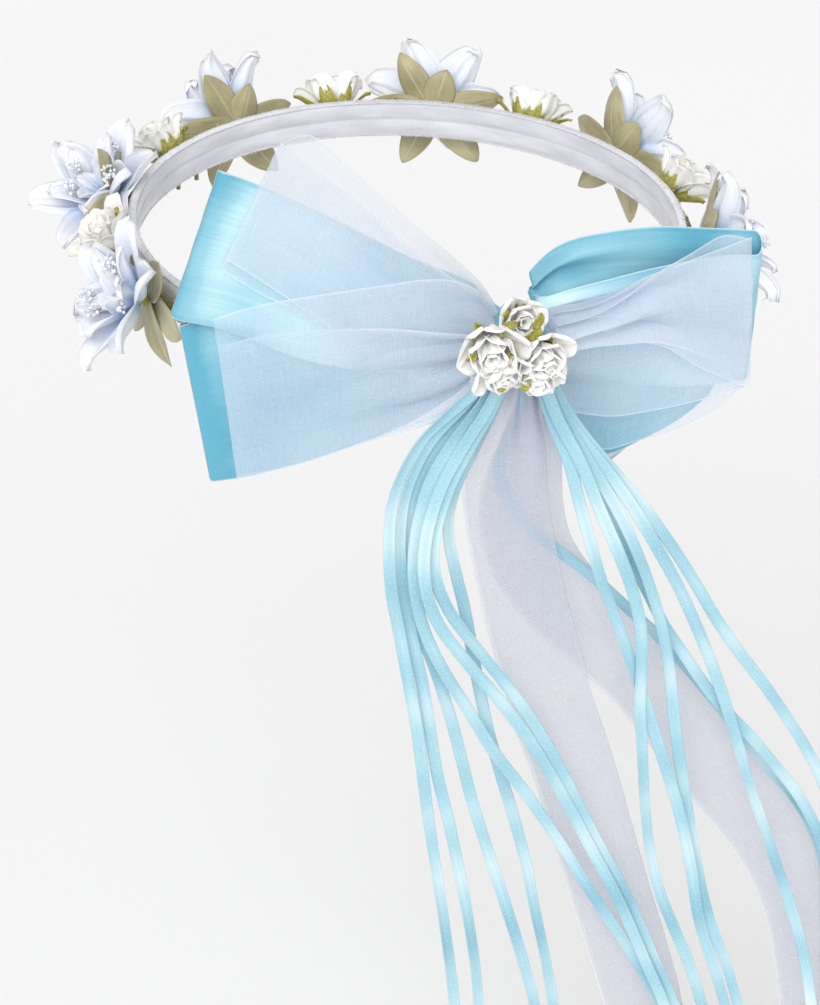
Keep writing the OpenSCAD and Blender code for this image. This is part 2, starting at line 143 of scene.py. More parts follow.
def on_wire(angle, tilt=0.0):
    """The place on the garland wire at this angle, with +Z pointing out from the ring."""
    spin = Matrix.Rotation(radians(angle), 4, "Z")
    lean = Matrix.Rotation(radians(90 - tilt), 4, "Y")
    return spin @ Matrix.Translation((WIRE_RING_R, 0, 0)) @ lean


def facing_front(place, tilt_x=0.0, tilt_z=0.0):
    """A place on the front of the knot, with +Z pointing to the front, leant a little."""
    lean = Matrix.Rotation(radians(90 + tilt_x), 4, "X") @ Matrix.Rotation(radians(tilt_z), 4, "Y")
    return Matrix.Translation(place) @ lean


def flower_angle(i):
    """Degrees round the ring at which a silk flower stands."""
    return 90 + FLOWER_STEP * (i - (FLOWER_COUNT - 1) / 2)


def rose_angle(i):
    return 90 + FLOWER_STEP * (i - (ROSE_COUNT - 1) / 2)


def behind_bow(i):
    return i in (0, FLOWER_COUNT - 1)


# ---------------------------------------------------------------- camera, floor and light

IMAGE_H = 1005
CAMERA_DISTANCE = 0.9
CAMERA_AZIMUTH = radians(17)
CAMERA_HEIGHT = radians(26.2)
HEADING = radians(17.3)
PITCH = radians(31.5)
ROLL = radians(2.3)
FOCAL_PX = 2930
SENSOR = 36
FLOOR_SIZE = 40
FLOOR_Z = cad_box[0][2] - 0.03
WORLD_STRENGTH = 0.5
# Each sun: its strength, its spread in degrees and the direction it shines along
SUNS = {
    "key_light": (1.3, 35, (0.45, 0.6, -0.75)),
    "fill_light": (0.35, 70, (-0.7, 0.45, -0.45)),
    "front_light": (0.95, 60, (0.2, 0.85, -0.5)),
}


def add_camera():
    place = CAMERA_DISTANCE * Vector((
        -sin(CAMERA_AZIMUTH) * cos(CAMERA_HEIGHT),
        -cos(CAMERA_AZIMUTH) * cos(CAMERA_HEIGHT),
        sin(CAMERA_HEIGHT),
    ))
    ahead = Vector((sin(HEADING) * cos(PITCH), cos(HEADING) * cos(PITCH), -sin(PITCH)))
    right = ahead.cross(Vector((0, 0, 1))).normalized()
    up = right.cross(ahead)
    rolled_right = right * cos(ROLL) + up * sin(ROLL)
    rolled_up = up * cos(ROLL) - right * sin(ROLL)
    turn = Matrix((rolled_right, rolled_up, -ahead)).transposed().to_4x4()
    lens = bpy.data.cameras.new("camera")
    lens.sensor_width = SENSOR
    lens.lens = FOCAL_PX * SENSOR / IMAGE_H
    lens.clip_end = 50
    camera = bpy.data.objects.new("camera", lens)
    camera.matrix_world = Matrix.Translation(place) @ turn
    bpy.context.scene.collection.objects.link(camera)
    bpy.context.scene.camera = camera


def add_sun(name, strength, spread, towards):
    """A soft distant light that shines along the direction towards."""
    light = bpy.data.lights.new(name, "SUN")
    light.energy = strength
    light.angle = radians(spread)
    lamp = bpy.data.objects.new(name, light)
    lamp.rotation_euler = Vector(towards).to_track_quat("-Z", "Y").to_euler()
    bpy.context.scene.collection.objects.link(lamp)


def add_room():
    scene = bpy.context.scene
    scene.view_settings.view_transform = "Standard"
    world = bpy.data.worlds.new("studio")
    world.use_nodes = True
    background = world.node_tree.nodes["Background"]
    background.inputs["Color"].default_value = (1, 1, 1, 1)
    background.inputs["Strength"].default_value = WORLD_STRENGTH
    scene.world = world
    for name, (strength, spread, towards) in SUNS.items():
        add_sun(name, strength, spread, towards)


# ---------------------------------------------------------------- node materials

class Shader:
    """A node material: its Principled shader and short calls that add nodes to it."""

    def __init__(self, name, roughness, sheen=0.0, specular=0.5):
        self.material = bpy.data.materials.new(name)
        self.material.use_nodes = True
        self.nodes = self.material.node_tree.nodes
        self.links = self.material.node_tree.links
        self.principled = self.nodes["Principled BSDF"]
        self.set("Roughness", roughness)
        self.set("Specular IOR Level", specular)
        self.set("Sheen Weight", sheen)
        self.set("Sheen Roughness", 0.4)

    def set(self, socket, value):
        self.principled.inputs[socket].default_value = value

    def feed(self, socket, output):
        self.links.new(output, self.principled.inputs[socket])

    def plug(self, socket, value):
        """Feeds a socket from another node's output, or sets it to a constant."""
        if isinstance(value, bpy.types.NodeSocket):
            self.links.new(value, socket)
        else:
            socket.default_value = value

    def add(self, kind, settings=None, **inputs):
        node = self.nodes.new(kind)
        for key, value in (settings or {}).items():
            setattr(node, key, value)
        for key, value in inputs.items():
            self.plug(node.inputs[key], value)
        return node

    def math(self, operation, a, b=0.0, c=0.0):
        node = self.nodes.new("ShaderNodeMath")
        node.operation = operation
        for socket, value in zip(node.inputs, (a, b, c)):
            self.plug(socket, value)
        return node.outputs[0]

    def uv(self):
        """The UV vector: metres along and across the cloth, or 0 to 1 on a petal."""
        return self.add("ShaderNodeTexCoord").outputs["UV"]

    def local(self):
        return self.add("ShaderNodeTexCoord").outputs["Object"]

    def split(self, vector):
        node = self.add("ShaderNodeSeparateXYZ", Vector=vector)
        return node.outputs["X"], node.outputs["Y"]

    def noise(self, vector, scale, detail=2.0, roughness=0.5):
        stretched = self.add("ShaderNodeMapping", Vector=vector, Scale=scale).outputs["Vector"]
        sizes = {"Scale": 1.0, "Detail": detail, "Roughness": roughness}
        return self.add("ShaderNodeTexNoise", Vector=stretched, **sizes).outputs["Fac"]

    def ramp(self, value, stops):
        """A colour that runs through the stops, each (place, linear colour)."""
        node = self.add("ShaderNodeValToRGB", Fac=value)
        elements = node.color_ramp.elements
        for place, colour in stops[1:-1]:
            elements.new(place).color = (*colour, 1)
        elements[0].position, elements[0].color = stops[0][0], (*stops[0][1], 1)
        elements[-1].position, elements[-1].color = stops[-1][0], (*stops[-1][1], 1)
        return node.outputs["Color"]

    def colour(self, value, *stops):
        """Colours the surface along a ramp."""
        self.feed("Base Color", self.ramp(value, stops))

    def mix(self, factor, a, b):
        node = self.nodes.new("ShaderNodeMix")
        node.data_type = "RGBA"
        self.plug(node.inputs[0], factor)
        for socket, colour in ((node.inputs[6], a), (node.inputs[7], b)):
            self.plug(socket, (*colour, 1) if isinstance(colour, tuple) else colour)
        return node.outputs[2]

    def glow(self, weight, radius):
        """Light that spreads inside the cloth or paper, over these distances for red, green and blue."""
        self.set("Subsurface Weight", weight)
        self.set("Subsurface Radius", radius)

    def waves(self, value, spacing):
        """A sine between 0 and 1 that repeats at this spacing, in metres."""
        wave = self.math("SINE", self.math("MULTIPLY", value, 2 * pi / spacing))
        return self.math("MULTIPLY_ADD", wave, 0.5, 0.5)

    def bump(self, height, distance, strength):
        node = self.add("ShaderNodeBump", Height=height, Distance=distance, Strength=strength)
        self.links.new(node.outputs["Normal"], self.principled.inputs["Normal"])

    def gather(self):
        """The value painted on the mesh: on organza how gathered the cloth is there, on satin painted shade
        that darkens it, and where below 0 painted light.
        """
        return self.add("ShaderNodeAttribute", {"attribute_name": "gather"}).outputs["Fac"]

    def edge(self, across, width, margin):
        """1 within margin of either edge of a ribbon this wide, 0 inside."""
        other = self.math("SUBTRACT", width, across)
        nearest = self.math("MINIMUM", across, other)
        inside = self.math("DIVIDE", nearest, margin)
        return self.math("SUBTRACT", 1.0, self.math("MINIMUM", inside, 1.0))

    def sheer(self, thread_share, colour, passes):
        """Leaves the gaps between the threads clear and lets the threads pass this share of the light."""
        glow = self.add("ShaderNodeBsdfTranslucent")
        self.links.new(colour, glow.inputs["Color"])
        clear = self.add("ShaderNodeBsdfTransparent")
        threads = self.add("ShaderNodeMixShader")
        threads.inputs[0].default_value = passes
        self.links.new(self.principled.outputs[0], threads.inputs[1])
        self.links.new(glow.outputs[0], threads.inputs[2])
        cloth = self.add("ShaderNodeMixShader")
        self.links.new(thread_share, cloth.inputs[0])
        self.links.new(clear.outputs[0], cloth.inputs[1])
        self.links.new(threads.outputs[0], cloth.inputs[2])
        self.links.new(cloth.outputs[0], self.nodes["Material Output"].inputs["Surface"])


def linear(red, green, blue):
    """Linear colour of an sRGB one given as 0 to 255."""
    return tuple(((c / 255 + 0.055) / 1.055) ** 2.4 if c > 10 else c / 3295 for c in (red, green, blue))


ORGANZA_GLOW = 0.45         # the share of the light on a thread of organza that goes through it
# Pale colour of the painted glints on satin, also taken by its woven edges.
SATIN_SPARK = linear(232, 246, 249)


def satin(name, dark, middle, light, width, rib, sparkle):
    """Woven satin: fine ribs across, long streaks of painted sheen along, brighter woven edges. The three
    colours run from painted shade, as in its folds, to painted highlight, and sparkle is the strength of its
    painted glints."""
    m = Shader(name, roughness=0.34, sheen=0.2, specular=0.5)
    uv = m.uv()
    along, across = m.split(uv)
    # Painted sheen: long streaks and broad patches lighten and darken the satin in place of its changing
    # sheen.
    streaks = m.noise(uv, (22, 700, 1), 3)
    patches = m.noise(uv, (32, 32, 1), 1)
    tone = m.math("ADD", m.math("MULTIPLY", streaks, 0.2), m.math("MULTIPLY", patches, 0.8))
    # Painted shade from the mesh value: darker satin at the fold turns, along the edges and on loops that lie
    # in shade, lighter where the value is below 0.
    tone = m.math("MULTIPLY_ADD", m.gather(), -0.3, tone)
    cloth = m.ramp(tone, ((0.22, dark), (0.5, middle), (0.72, light)))
    rim = m.edge(across, width, 0.00045)
    # Painted glints: fine specks mixed towards the pale glint colour.
    shine = m.ramp(m.noise(uv, (1500, 2600, 1), 1), ((0.5, (0, 0, 0)), (0.72, (1, 1, 1))))
    edge_and_glint = m.math("MAXIMUM", m.math("MULTIPLY", rim, 0.7), m.math("MULTIPLY", shine, sparkle))
    m.feed("Base Color", m.mix(edge_and_glint, cloth, SATIN_SPARK))
    ribs = m.waves(along, rib)
    threads = m.waves(across, rib * 0.7)
    height = m.math("ADD", m.math("MULTIPLY", ribs, 0.6), m.math("MULTIPLY", threads, 0.4))
    m.bump(m.math("ADD", height, m.math("MULTIPLY", rim, 2.0)), 0.00006, 0.5)
    m.set("Anisotropic", 0.5)
    return m.material


def organza(name, colour, cover, width):
    """Sheer organza: a fine open weave, slight clouding, a dense white selvedge and faint painted glints.
    cover is the share of the cloth that its threads fill where it lies flat."""
    m = Shader(name, roughness=0.45, sheen=0.2, specular=0.35)
    uv = m.uv()
    along, across = m.split(uv)
    rim = m.edge(across, width, 0.0007)
    weave = m.math("ADD", m.waves(along, 0.0006), m.waves(across, 0.0006))
    slubs = m.math("ADD", m.noise(uv, (90, 3200, 1), 2), m.noise(uv, (3200, 90, 1), 2))
    clouds = m.noise(uv, (70, 70, 1), 2)
    # Painted glints: specks that turn whiter and denser.
    spark = m.math("GREATER_THAN", m.noise(uv, (1900, 1900, 1), 1), 0.7)
    thread_share = cover
    for pattern, middle, share in (
        (weave, 1.0, 0.04), (slubs, 1.0, 0.22), (clouds, 0.5, 0.2), (m.gather(), 0.0, 0.5), (rim, 0.0, 0.5),
        (spark, 0.0, 0.25)
    ):
        centred = m.math("SUBTRACT", pattern, middle) if middle else pattern
        thread_share = m.math("MULTIPLY_ADD", centred, share, thread_share)
    cloth = m.mix(rim, colour, linear(246, 248, 252))
    cloth = m.mix(m.math("MULTIPLY", spark, 0.8), cloth, (1.0, 1.0, 1.0))
    m.feed("Base Color", cloth)
    m.bump(weave, 0.00004, 0.35)
    m.sheer(m.math("MINIMUM", m.math("MAXIMUM", thread_share, 0.1), 0.95), cloth, ORGANZA_GLOW)
    return m.material


def band_satin():
    """White satin drawn round the hoops, with soft puckers."""
    m = Shader("band_satin", roughness=0.42, sheen=0.3, specular=0.4)
    uv = m.uv()
    along, _ = m.split(uv)
    soft = m.noise(uv, (60, 240, 1), 3)
    m.colour(soft, (0.3, linear(198, 197, 205)), (0.75, linear(224, 224, 229)))
    threads = m.waves(along, 0.0007)
    pucker = m.noise(uv, (700, 90, 1), 2)
    m.bump(m.math("ADD", m.math("MULTIPLY", threads, 0.15), pucker), 0.00025, 0.6)
    return m.material


def silk_petals(name, throat, tip):
    """Printed silk: a tinted throat that pales to the tip, with fine pressed veins."""
    m = Shader(name, roughness=0.55, sheen=0.35, specular=0.3)
    uv = m.uv()
    along, across = m.split(uv)
    uneven = m.noise(uv, (3, 3, 1), 3)
    blend = m.math("MULTIPLY_ADD", m.math("SUBTRACT", uneven, 0.5), 0.35, along)
    m.colour(blend, (0.1, throat), (0.55, tip), (1.0, linear(250, 250, 254)))
    veins = m.waves(across, 0.09)
    crinkle = m.noise(uv, (14, 30, 1), 4)
    m.bump(m.math("ADD", m.math("MULTIPLY", veins, 0.5), crinkle), 0.0003, 0.55)
    m.glow(0.15, (0.002, 0.002, 0.0025))
    return m.material


def leaf_silk():
    """Olive satin leaves: a pale mid vein, side veins and a brushed sheen."""
    m = Shader("leaf_silk", roughness=0.38, sheen=0.3, specular=0.5)
    uv = m.uv()
    along, across = m.split(uv)
    middle = m.math("ABSOLUTE", m.math("SUBTRACT", across, 0.5))
    slant = m.math("MULTIPLY_ADD", middle, -1.1, along)
    veins = m.waves(slant, 0.085)
    streaks = m.noise(uv, (3, 40, 1), 3)
    patches = m.noise(m.local(), (90, 90, 90), 2)
    tone = m.math("ADD", m.math("MULTIPLY", streaks, 0.4), m.math("MULTIPLY", patches, 0.6))
    cloth = m.ramp(tone, ((0.3, linear(146, 136, 98)), (0.72, linear(204, 196, 154))))
    vein = m.math("LESS_THAN", middle, 0.025)
    m.feed("Base Color", m.mix(m.math("MULTIPLY", vein, 0.5), cloth, linear(212, 206, 168)))
    height = m.math("MULTIPLY_ADD", veins, 0.35, m.math("MINIMUM", m.math("MULTIPLY", middle, 12.0), 1.0))
    m.bump(height, 0.0003, 0.5)
    return m.material


def paper(name, light, shade, wrinkle):
    """Mulberry or crepe paper: fibrous, dry, with small creases."""
    m = Shader(name, roughness=0.85, sheen=0.1, specular=0.2)
    place = m.local()
    fibres = m.noise(place, (900, 900, 900), 4, 0.6)
    m.colour(fibres, (0.25, shade), (0.7, light))
    creases = m.noise(place, (380, 380, 380), 5, 0.65)
    m.bump(creases, wrinkle, 0.7)
    m.glow(0.3, (0.003, 0.003, 0.003))
    return m.material


def thread(name, colour, shade, spacing):
    """Spun thread: slanted plies and fine fuzz."""
    m = Shader(name, roughness=0.7, sheen=0.4, specular=0.3)
    place = m.local()
    x, y = m.split(place)
    plies = m.waves(m.math("ADD", x, y), spacing)
    fuzz = m.noise(place, (1800, 1800, 1800), 3)
    m.colour(fuzz, (0.3, shade), (0.7, colour))
    m.bump(m.math("ADD", plies, fuzz), 0.00015, 0.6)
    return m.material


def metal(name):
    """Drawn steel wire with faint lengthwise scratches."""
    m = Shader(name, roughness=0.3)
    m.set("Metallic", 1.0)
    scratches = m.noise(m.local(), (400, 400, 4000), 3)
    m.colour(scratches, (0.3, (0.55, 0.55, 0.56)), (0.7, (0.75, 0.75, 0.76)))
    m.bump(scratches, 0.00004, 0.4)
    return m.material


def beads():
    """Pearly stamen beads with a rough sugared coat."""
    m = Shader("stamen_beads", roughness=0.3, sheen=0.1, specular=0.6)
    grain = m.noise(m.local(), (1500, 1500, 1500), 3)
    m.colour(grain, (0.3, linear(226, 232, 244)), (0.7, linear(252, 252, 254)))
    m.bump(grain, 0.00018, 0.6)
    return m.material


# Satin colours, each: painted shade, middle, painted highlight.
BOW_AQUAS = linear(92, 170, 194), linear(146, 201, 216), linear(206, 236, 242)
STREAMER_AQUAS = linear(104, 168, 190), linear(162, 206, 219), linear(226, 241, 245)
MATERIALS = {
    "streamer_satin": satin("streamer_satin", *STREAMER_AQUAS, STREAMER_W * MM, 0.0006, 0.3),
    "bow_satin": satin("bow_satin", *BOW_AQUAS, RIBBON_W * MM, 0.0006, 0.06),
    "bow_organza": organza("bow_organza", linear(233, 240, 250), 0.38, RIBBON_W * MM),
    "tail_organza": organza("tail_organza", linear(222, 224, 234), 0.46, RIBBON_W * MM),
    "band_satin": band_satin(),
    "petal_silk": silk_petals("petal_silk", linear(164, 202, 238), linear(232, 236, 249)),
    "leaf_silk": leaf_silk(),
    "stamen_beads": beads(),
    "flower_paper": paper("flower_paper", linear(255, 255, 253), linear(246, 245, 243), 0.0002),
    "rose_paper": paper("rose_paper", linear(255, 254, 250), linear(244, 242, 234), 0.00025),
    "crepe_green": paper("crepe_green", linear(196, 190, 104), linear(136, 128, 52), 0.0004),
    "floral_tape": paper("floral_tape", linear(150, 144, 96), linear(108, 104, 66), 0.0003),
    "thread": thread("thread", linear(246, 246, 248), linear(222, 222, 228), 0.0008),
    "edge_stitching": thread("edge_stitching", linear(250, 250, 252), linear(228, 228, 234), 0.0007),
    "hoop_wire": metal("hoop_wire"),
}


# ---------------------------------------------------------------- mesh pieces

def middle_and_half(node):
    """The middle of a CAD node's box and half its size, in millimetres."""
    low, high = (np.array(corner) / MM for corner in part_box(node))
    return (low + high) / 2, (high - low) / 2


def squared(turn):
    """How far out a soft rounded square runs at each turn of its outline."""
    return 1 / (np.abs(np.cos(turn)) ** 4 + np.abs(np.sin(turn)) ** 4) ** 0.25


class Builder:
    """Collects grids of points, in millimetres, into one mesh piece with UVs."""

    def __init__(self):
        self.points, self.faces, self.uvs, self.gather = [], [], [], []
        self.count = 0

    def grid(self, points, uv, closed=False, gather=None):
        """points is rows x columns x 3. A closed grid joins its last column to its first,
        and its uv then has one column more."""
        points = np.asarray(points, float)
        rows, columns = points.shape[:2]
        index = self.count + np.arange(rows * columns).reshape(rows, columns)
        spans = columns if closed else columns - 1
        for i in range(rows - 1):
            for k in range(spans):
                n = (k + 1) % columns
                self.faces.append((index[i, k], index[i, n], index[i + 1, n], index[i + 1, k]))
                self.uvs += [uv[i, k], uv[i, k + 1], uv[i + 1, k + 1], uv[i + 1, k]]
        self.points.append(points.reshape(-1, 3))
        painted = np.zeros(rows * columns) if gather is None else np.asarray(gather).reshape(-1)
        self.gather.append(painted)
        self.last_grid = index
        self.count += rows * columns

    def fan(self, ring_row, centre, uv):
        """Closes an open ring of points, given as their numbers, to a centre."""
        self.points.append(np.asarray(centre, float).reshape(1, 3))
        self.gather.append(np.zeros(1))
        for k in range(len(ring_row)):
            n = (k + 1) % len(ring_row)
            self.faces.append((ring_row[k], ring_row[n], self.count))
            self.uvs += [uv, uv, uv]
        self.count += 1

    def close_ends(self, first, last, first_uv=(0, 0), last_uv=(0, 0)):
        """Closes both ends of the closed grid added last, each to its own centre."""
        rings = self.last_grid.tolist()
        self.fan(rings[0][::-1], first, first_uv)
        self.fan(rings[-1], last, last_uv)

    def piece(self, name, slot, body, stands_for, thickness=0.0, levels=0):
        """The finished object: it rides on a body and stands for CAD nodes."""
        mesh = bpy.data.meshes.new(name)
        faces = [tuple(map(int, face)) for face in self.faces]
        mesh.from_pydata((np.concatenate(self.points) * MM).tolist(), [], faces)
        layer = mesh.uv_layers.new(name="cloth")
        layer.data.foreach_set("uv", np.asarray(self.uvs, np.float32).reshape(-1))
        attribute = mesh.attributes.new("gather", "FLOAT", "POINT")
        attribute.data.foreach_set("value", np.concatenate(self.gather).astype(np.float32))
        mesh.polygons.foreach_set("use_smooth", [True] * len(mesh.polygons))
        mesh.materials.append(MATERIALS[slot])
        mesh.update()
        piece = bpy.data.objects.new(name, mesh)
        bpy.context.scene.collection.objects.link(piece)
        if thickness:
            solid = piece.modifiers.new("thickness", "SOLIDIFY")
            solid.thickness = thickness * MM
            solid.offset = 0
        if levels:
            soft = piece.modifiers.new("soft", "SUBSURF")
            soft.levels = soft.render_levels = levels
        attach(piece, body)
        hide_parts(*stands_for)
        return piece


def uv_grid(along, across):
    """UV table of a grid from its distances along the rows and across the columns."""
    return np.stack(np.meshgrid(along, across, indexing="ij"), -1)


def tube(builder, line, radius, sides):
    """A round tube along a line of points, closed at both ends."""
    line = np.asarray(line, float)
    ahead = directions(line)
    side = np.cross(ahead, (0.31, 0.17, 0.93))
    side /= np.linalg.norm(side, axis=1)[:, None]
    other = np.cross(ahead, side)
    turn = np.linspace(0, 2 * pi, sides, endpoint=False)
    ring = side[:, None] * np.cos(turn)[None, :, None] + other[:, None] * np.sin(turn)[None, :, None]
    points = line[:, None] + ring * radius
    round_uv = np.linspace(0, 2 * pi * radius * MM, sides + 1)
    builder.grid(points, uv_grid(run_along(line) * MM, round_uv), True)
    builder.close_ends(line[0], line[-1])


def ball(builder, centre, radius, rings, sides):
    """A small bead."""
    lat = np.linspace(-pi / 2, pi / 2, rings)[:, None]
    lon = np.linspace(0, 2 * pi, sides, endpoint=False)[None, :]
    shape = np.stack([np.cos(lat) * np.cos(lon), np.cos(lat) * np.sin(lon), np.sin(lat) + 0 * lon], -1)
    uv = uv_grid(np.linspace(0, 1, rings), np.linspace(0, 1, sides + 1))
    builder.grid(np.asarray(centre) + radius * shape, uv, True)


# ---------------------------------------------------------------- hanging ribbons

# Routes of the streamers as in the CAD source, from the tie to the free end: (x, z)
ROUTES_LEFT = [
    [(-12.5, 10.4), (-20.5, 3.5), (-30, -6), (-36.5, -20), (-38, -34), (-37, -50), (-34, -66),
     (-31, -82), (-28, -98), (-25.5, -115), (-23, -133), (-19.5, -155), (-15.5, -180),
     (-12, -205), (-9, -235), (-7, -270), (-6, -305), (-6, -335), (-6, -357)],
    [(-11.5, 10.4), (-18.5, 3), (-27, -7), (-33, -21), (-34.5, -36), (-33, -52), (-30, -68),
     (-26.5, -84), (-23.5, -101), (-20.5, -118), (-16, -137), (-12, -156), (-8.5, -174),
     (-5, -196), (-2, -225), (0, -260), (1, -295), (1.5, -330), (1.5, -356)],
    [(-10.5, 10.4), (-16, 2.5), (-23, -7), (-29, -20), (-32, -35), (-31.5, -49), (-28.5, -63),
     (-23, -79), (-18, -95), (-13.5, -112), (-9, -130), (-3, -150), (4, -173),
     (11, -197), (17, -222), (21, -255), (23, -290), (24, -325), (24, -352)],
    [(-9.5, 10.4), (-14, 2.5), (-21, -7), (-27, -18), (-30.5, -32), (-31, -46), (-28, -62),
     (-22, -77), (-13.5, -93), (-4, -111), (8, -130), (20, -151), (33, -175),
     (46, -198), (56, -220), (63, -248), (67, -280), (69, -315), (69, -341)],
    [(-8.5, 10.4), (-12, 2.5), (-18, -7), (-24.5, -19), (-28.5, -33), (-28.5, -47), (-24, -61),
     (-14.5, -76), (-4, -91), (6, -107), (16.5, -127), (27, -149), (38, -172),
     (49, -199), (58, -222), (64, -250), (68, -282), (70, -315), (70, -339)],
    [(-7.5, 10.4), (-10.5, 2), (-15.5, -7.5), (-21.5, -19), (-25.5, -32), (-25.5, -44.5), (-20.5, -58),
     (-11, -73), (-1, -88), (8.5, -104), (19, -125), (29.5, -148), (41, -172),
     (52.5, -200), (62, -224), (68, -252), (72, -283), (74, -316), (74, -339)],
    [(-5.5, 10.4), (-8.5, 1), (-13, -10), (-18, -22), (-20, -34), (-17.5, -48), (-14, -62),
     (-11, -77), (-8, -92), (-4.5, -107), (0, -123), (5, -140), (10, -159),
     (14, -178), (19, -200), (24, -228), (27, -260), (29, -295), (30, -330), (30, -353)],
]
ROUTES_RIGHT = [
    [(3.9, 10.4), (7.5, -1), (13, -15), (16.5, -28), (20.5, -42), (25, -56), (30.5, -70),
     (36, -85), (41, -99), (46.5, -115), (52, -131), (57, -147), (61.5, -165),
     (66, -186), (73, -207), (80, -230), (86, -260), (90, -295), (92, -330), (92, -347)],
    [(4.4, 10.4), (9.5, -2), (16.5, -16), (22.5, -31), (28.5, -45), (33.5, -58), (37, -71),
     (38.5, -85), (39, -99), (41, -115), (43, -132), (46, -151), (50.5, -169),
     (57, -186), (65, -206), (72, -230), (77, -260), (80, -295), (81, -330), (81, -350)],
    [(4.9, 10.4), (11, -2.5), (20, -18), (28.5, -33), (35, -47), (40.5, -61), (45, -75),
     (48.5, -90), (51, -105), (54, -121), (57.5, -137), (61, -153), (65, -170),
     (70.5, -189), (78, -209), (85, -232), (91, -262), (95, -297), (97, -332), (97, -344)],
    [(5.4, 10.4), (13, -4), (24, -19), (34, -34), (42, -48), (49.5, -62), (56.5, -77),
     (62, -90), (67, -103), (73, -120), (79, -138), (85.5, -155), (91, -170),
     (97, -186), (104, -207), (110, -232), (115, -262), (118, -297), (119, -341)],
    [(6.2, 10.4), (15, -5), (26.5, -20.5), (37, -34), (46.5, -48), (55, -62), (63, -76),
     (71.5, -89), (80, -101), (88.5, -114), (97, -128), (105, -144), (112, -164),
     (117, -188), (121, -215), (124, -245), (126, -278), (127, -305), (127, -334)],
    [(7, 10.4), (12, -6), (19, -21), (26.5, -35), (34, -50), (41, -64), (47.5, -77),
     (55, -89), (62, -100), (70, -111), (79, -122), (88, -134), (97, -147),
     (105, -162), (112, -181), (117, -205), (121, -235), (124, -268), (125, -300), (125, -336)],
    [(3.9, 10.4), (-1, -2), (-4.5, -14), (-4, -24), (0, -33), (7, -42), (16, -50.5),
     (27, -61), (38, -73), (48, -84), (58, -96.5), (68, -110), (78, -124),
     (88, -138), (98, -151), (107, -167), (114, -187), (119, -212), (122, -240),
     (124, -272), (125, -305), (125, -323)],
]
# Layer of each streamer, 0 at the front; the last on the right lies behind the tail
LAYERS_LEFT = (3, 4, 5, 2, 0, 1, 6)
LAYERS_RIGHT = (1, 0, 2, 3, 4, 5)
REAR_STREAMER_Y = (-112.4, -110.7)
# Routes of the two organza tails, and their widths at the first points, where they are gathered
ROUTE_TAIL_CENTRE = [
    (-1.5, 10.4), (-2.5, -1), (-3.5, -12), (-3.5, -24), (-1.5, -38), (2, -54), (6, -70), (11, -86),
    (15.5, -103), (21.5, -120), (27, -137), (33, -157), (40, -180), (48, -205), (55, -230), (60, -260),
    (63, -295), (65, -330), (65, -352)
]
TAIL_CENTRE_TOPS = (9, 16, 23)
ROUTE_TAIL_RIGHT = [
    (5.5, 10.4), (4, -5), (3, -20), (3.5, -36), (8, -52), (18, -68), (32.5, -84), (47, -101), (60, -119),
    (72, -137), (85, -155), (97, -174), (107, -197), (114, -224), (119, -254), (122, -285), (123, -310),
    (123, -332)
]
TAIL_RIGHT_TOPS = (7, 14, 22)
TAIL_CENTRE_Y = (-113.1, -113.4)
TAIL_RIGHT_Y = (-111.7, -108)
# y of the front layer and the step to the next one, at the ties and, LOW, below the fan's bottom
LAYER_FRONT_Y, LAYER_STEP = -117.7, 0.65
LAYER_FRONT_Y_LOW, LAYER_STEP_LOW = -123, 1.3
FAN_TOP, FAN_BOTTOM = 4, -50            # heights between which the layers fan out
RIBBON_STEPS = 6                        # steps to each stretch of a route


def layer_y(z, top, low):
    """y of a hanging layer at each height, from top at the tie to low below the fan."""
    return top + (low - top) * smooth_step((FAN_TOP - z) / (FAN_TOP - FAN_BOTTOM))


def hanging_line(route, top, low, steps):
    """Points of a ribbon's middle line, from its route seen from the front."""
    line = curve_through(route, steps)
    return np.stack([line[:, 0], layer_y(line[:, 1], top, low), line[:, 1]], 1)


def ribbon_sides(line):
    """Unit vectors across a hanging ribbon and out of its face."""
    ahead = directions(line)
    ahead[0] = (0, 0, -1)
    face = np.tile((0.0, -1.0, 0.0), (len(line), 1))
    across = np.cross(face, ahead)
    across /= np.linalg.norm(across, axis=1)[:, None]
    return across, np.cross(ahead, across)


STREAMER_HALF_T = 0.17
STREAMER_ROLL, ROLL_RUN = 17, 27        # degrees it rolls to either side, and how slowly along it
STREAMER_CURL, CURL_RUN = 0.12, 33      # how hollow its face gets, and how slowly along it
GATHER_RUN = 55                         # how far below the tie the gathers of a tail run out
TAIL_GAP = 0.22                         # half the gap between the two layers of a tail
UV_MIDDLE = 0.002                       # UV across the ribbon at the centre of a cut end


def streamer_section():
    """Outline of a streamer's cut: places across it, from -0.5 to 0.5, and heights, thick at both edges."""
    across = np.array((-0.5, -0.47, -0.38, -0.22, 0, 0.22, 0.38, 0.47, 0.5))
    height = np.array((0, 1.3, 1.0, 0.8, 0.75, 0.8, 1.0, 1.3, 0)) * STREAMER_HALF_T
    return np.append(across, across[-2:0:-1]), np.append(height, -height[-2:0:-1])


STREAMER_SECTION = streamer_section()


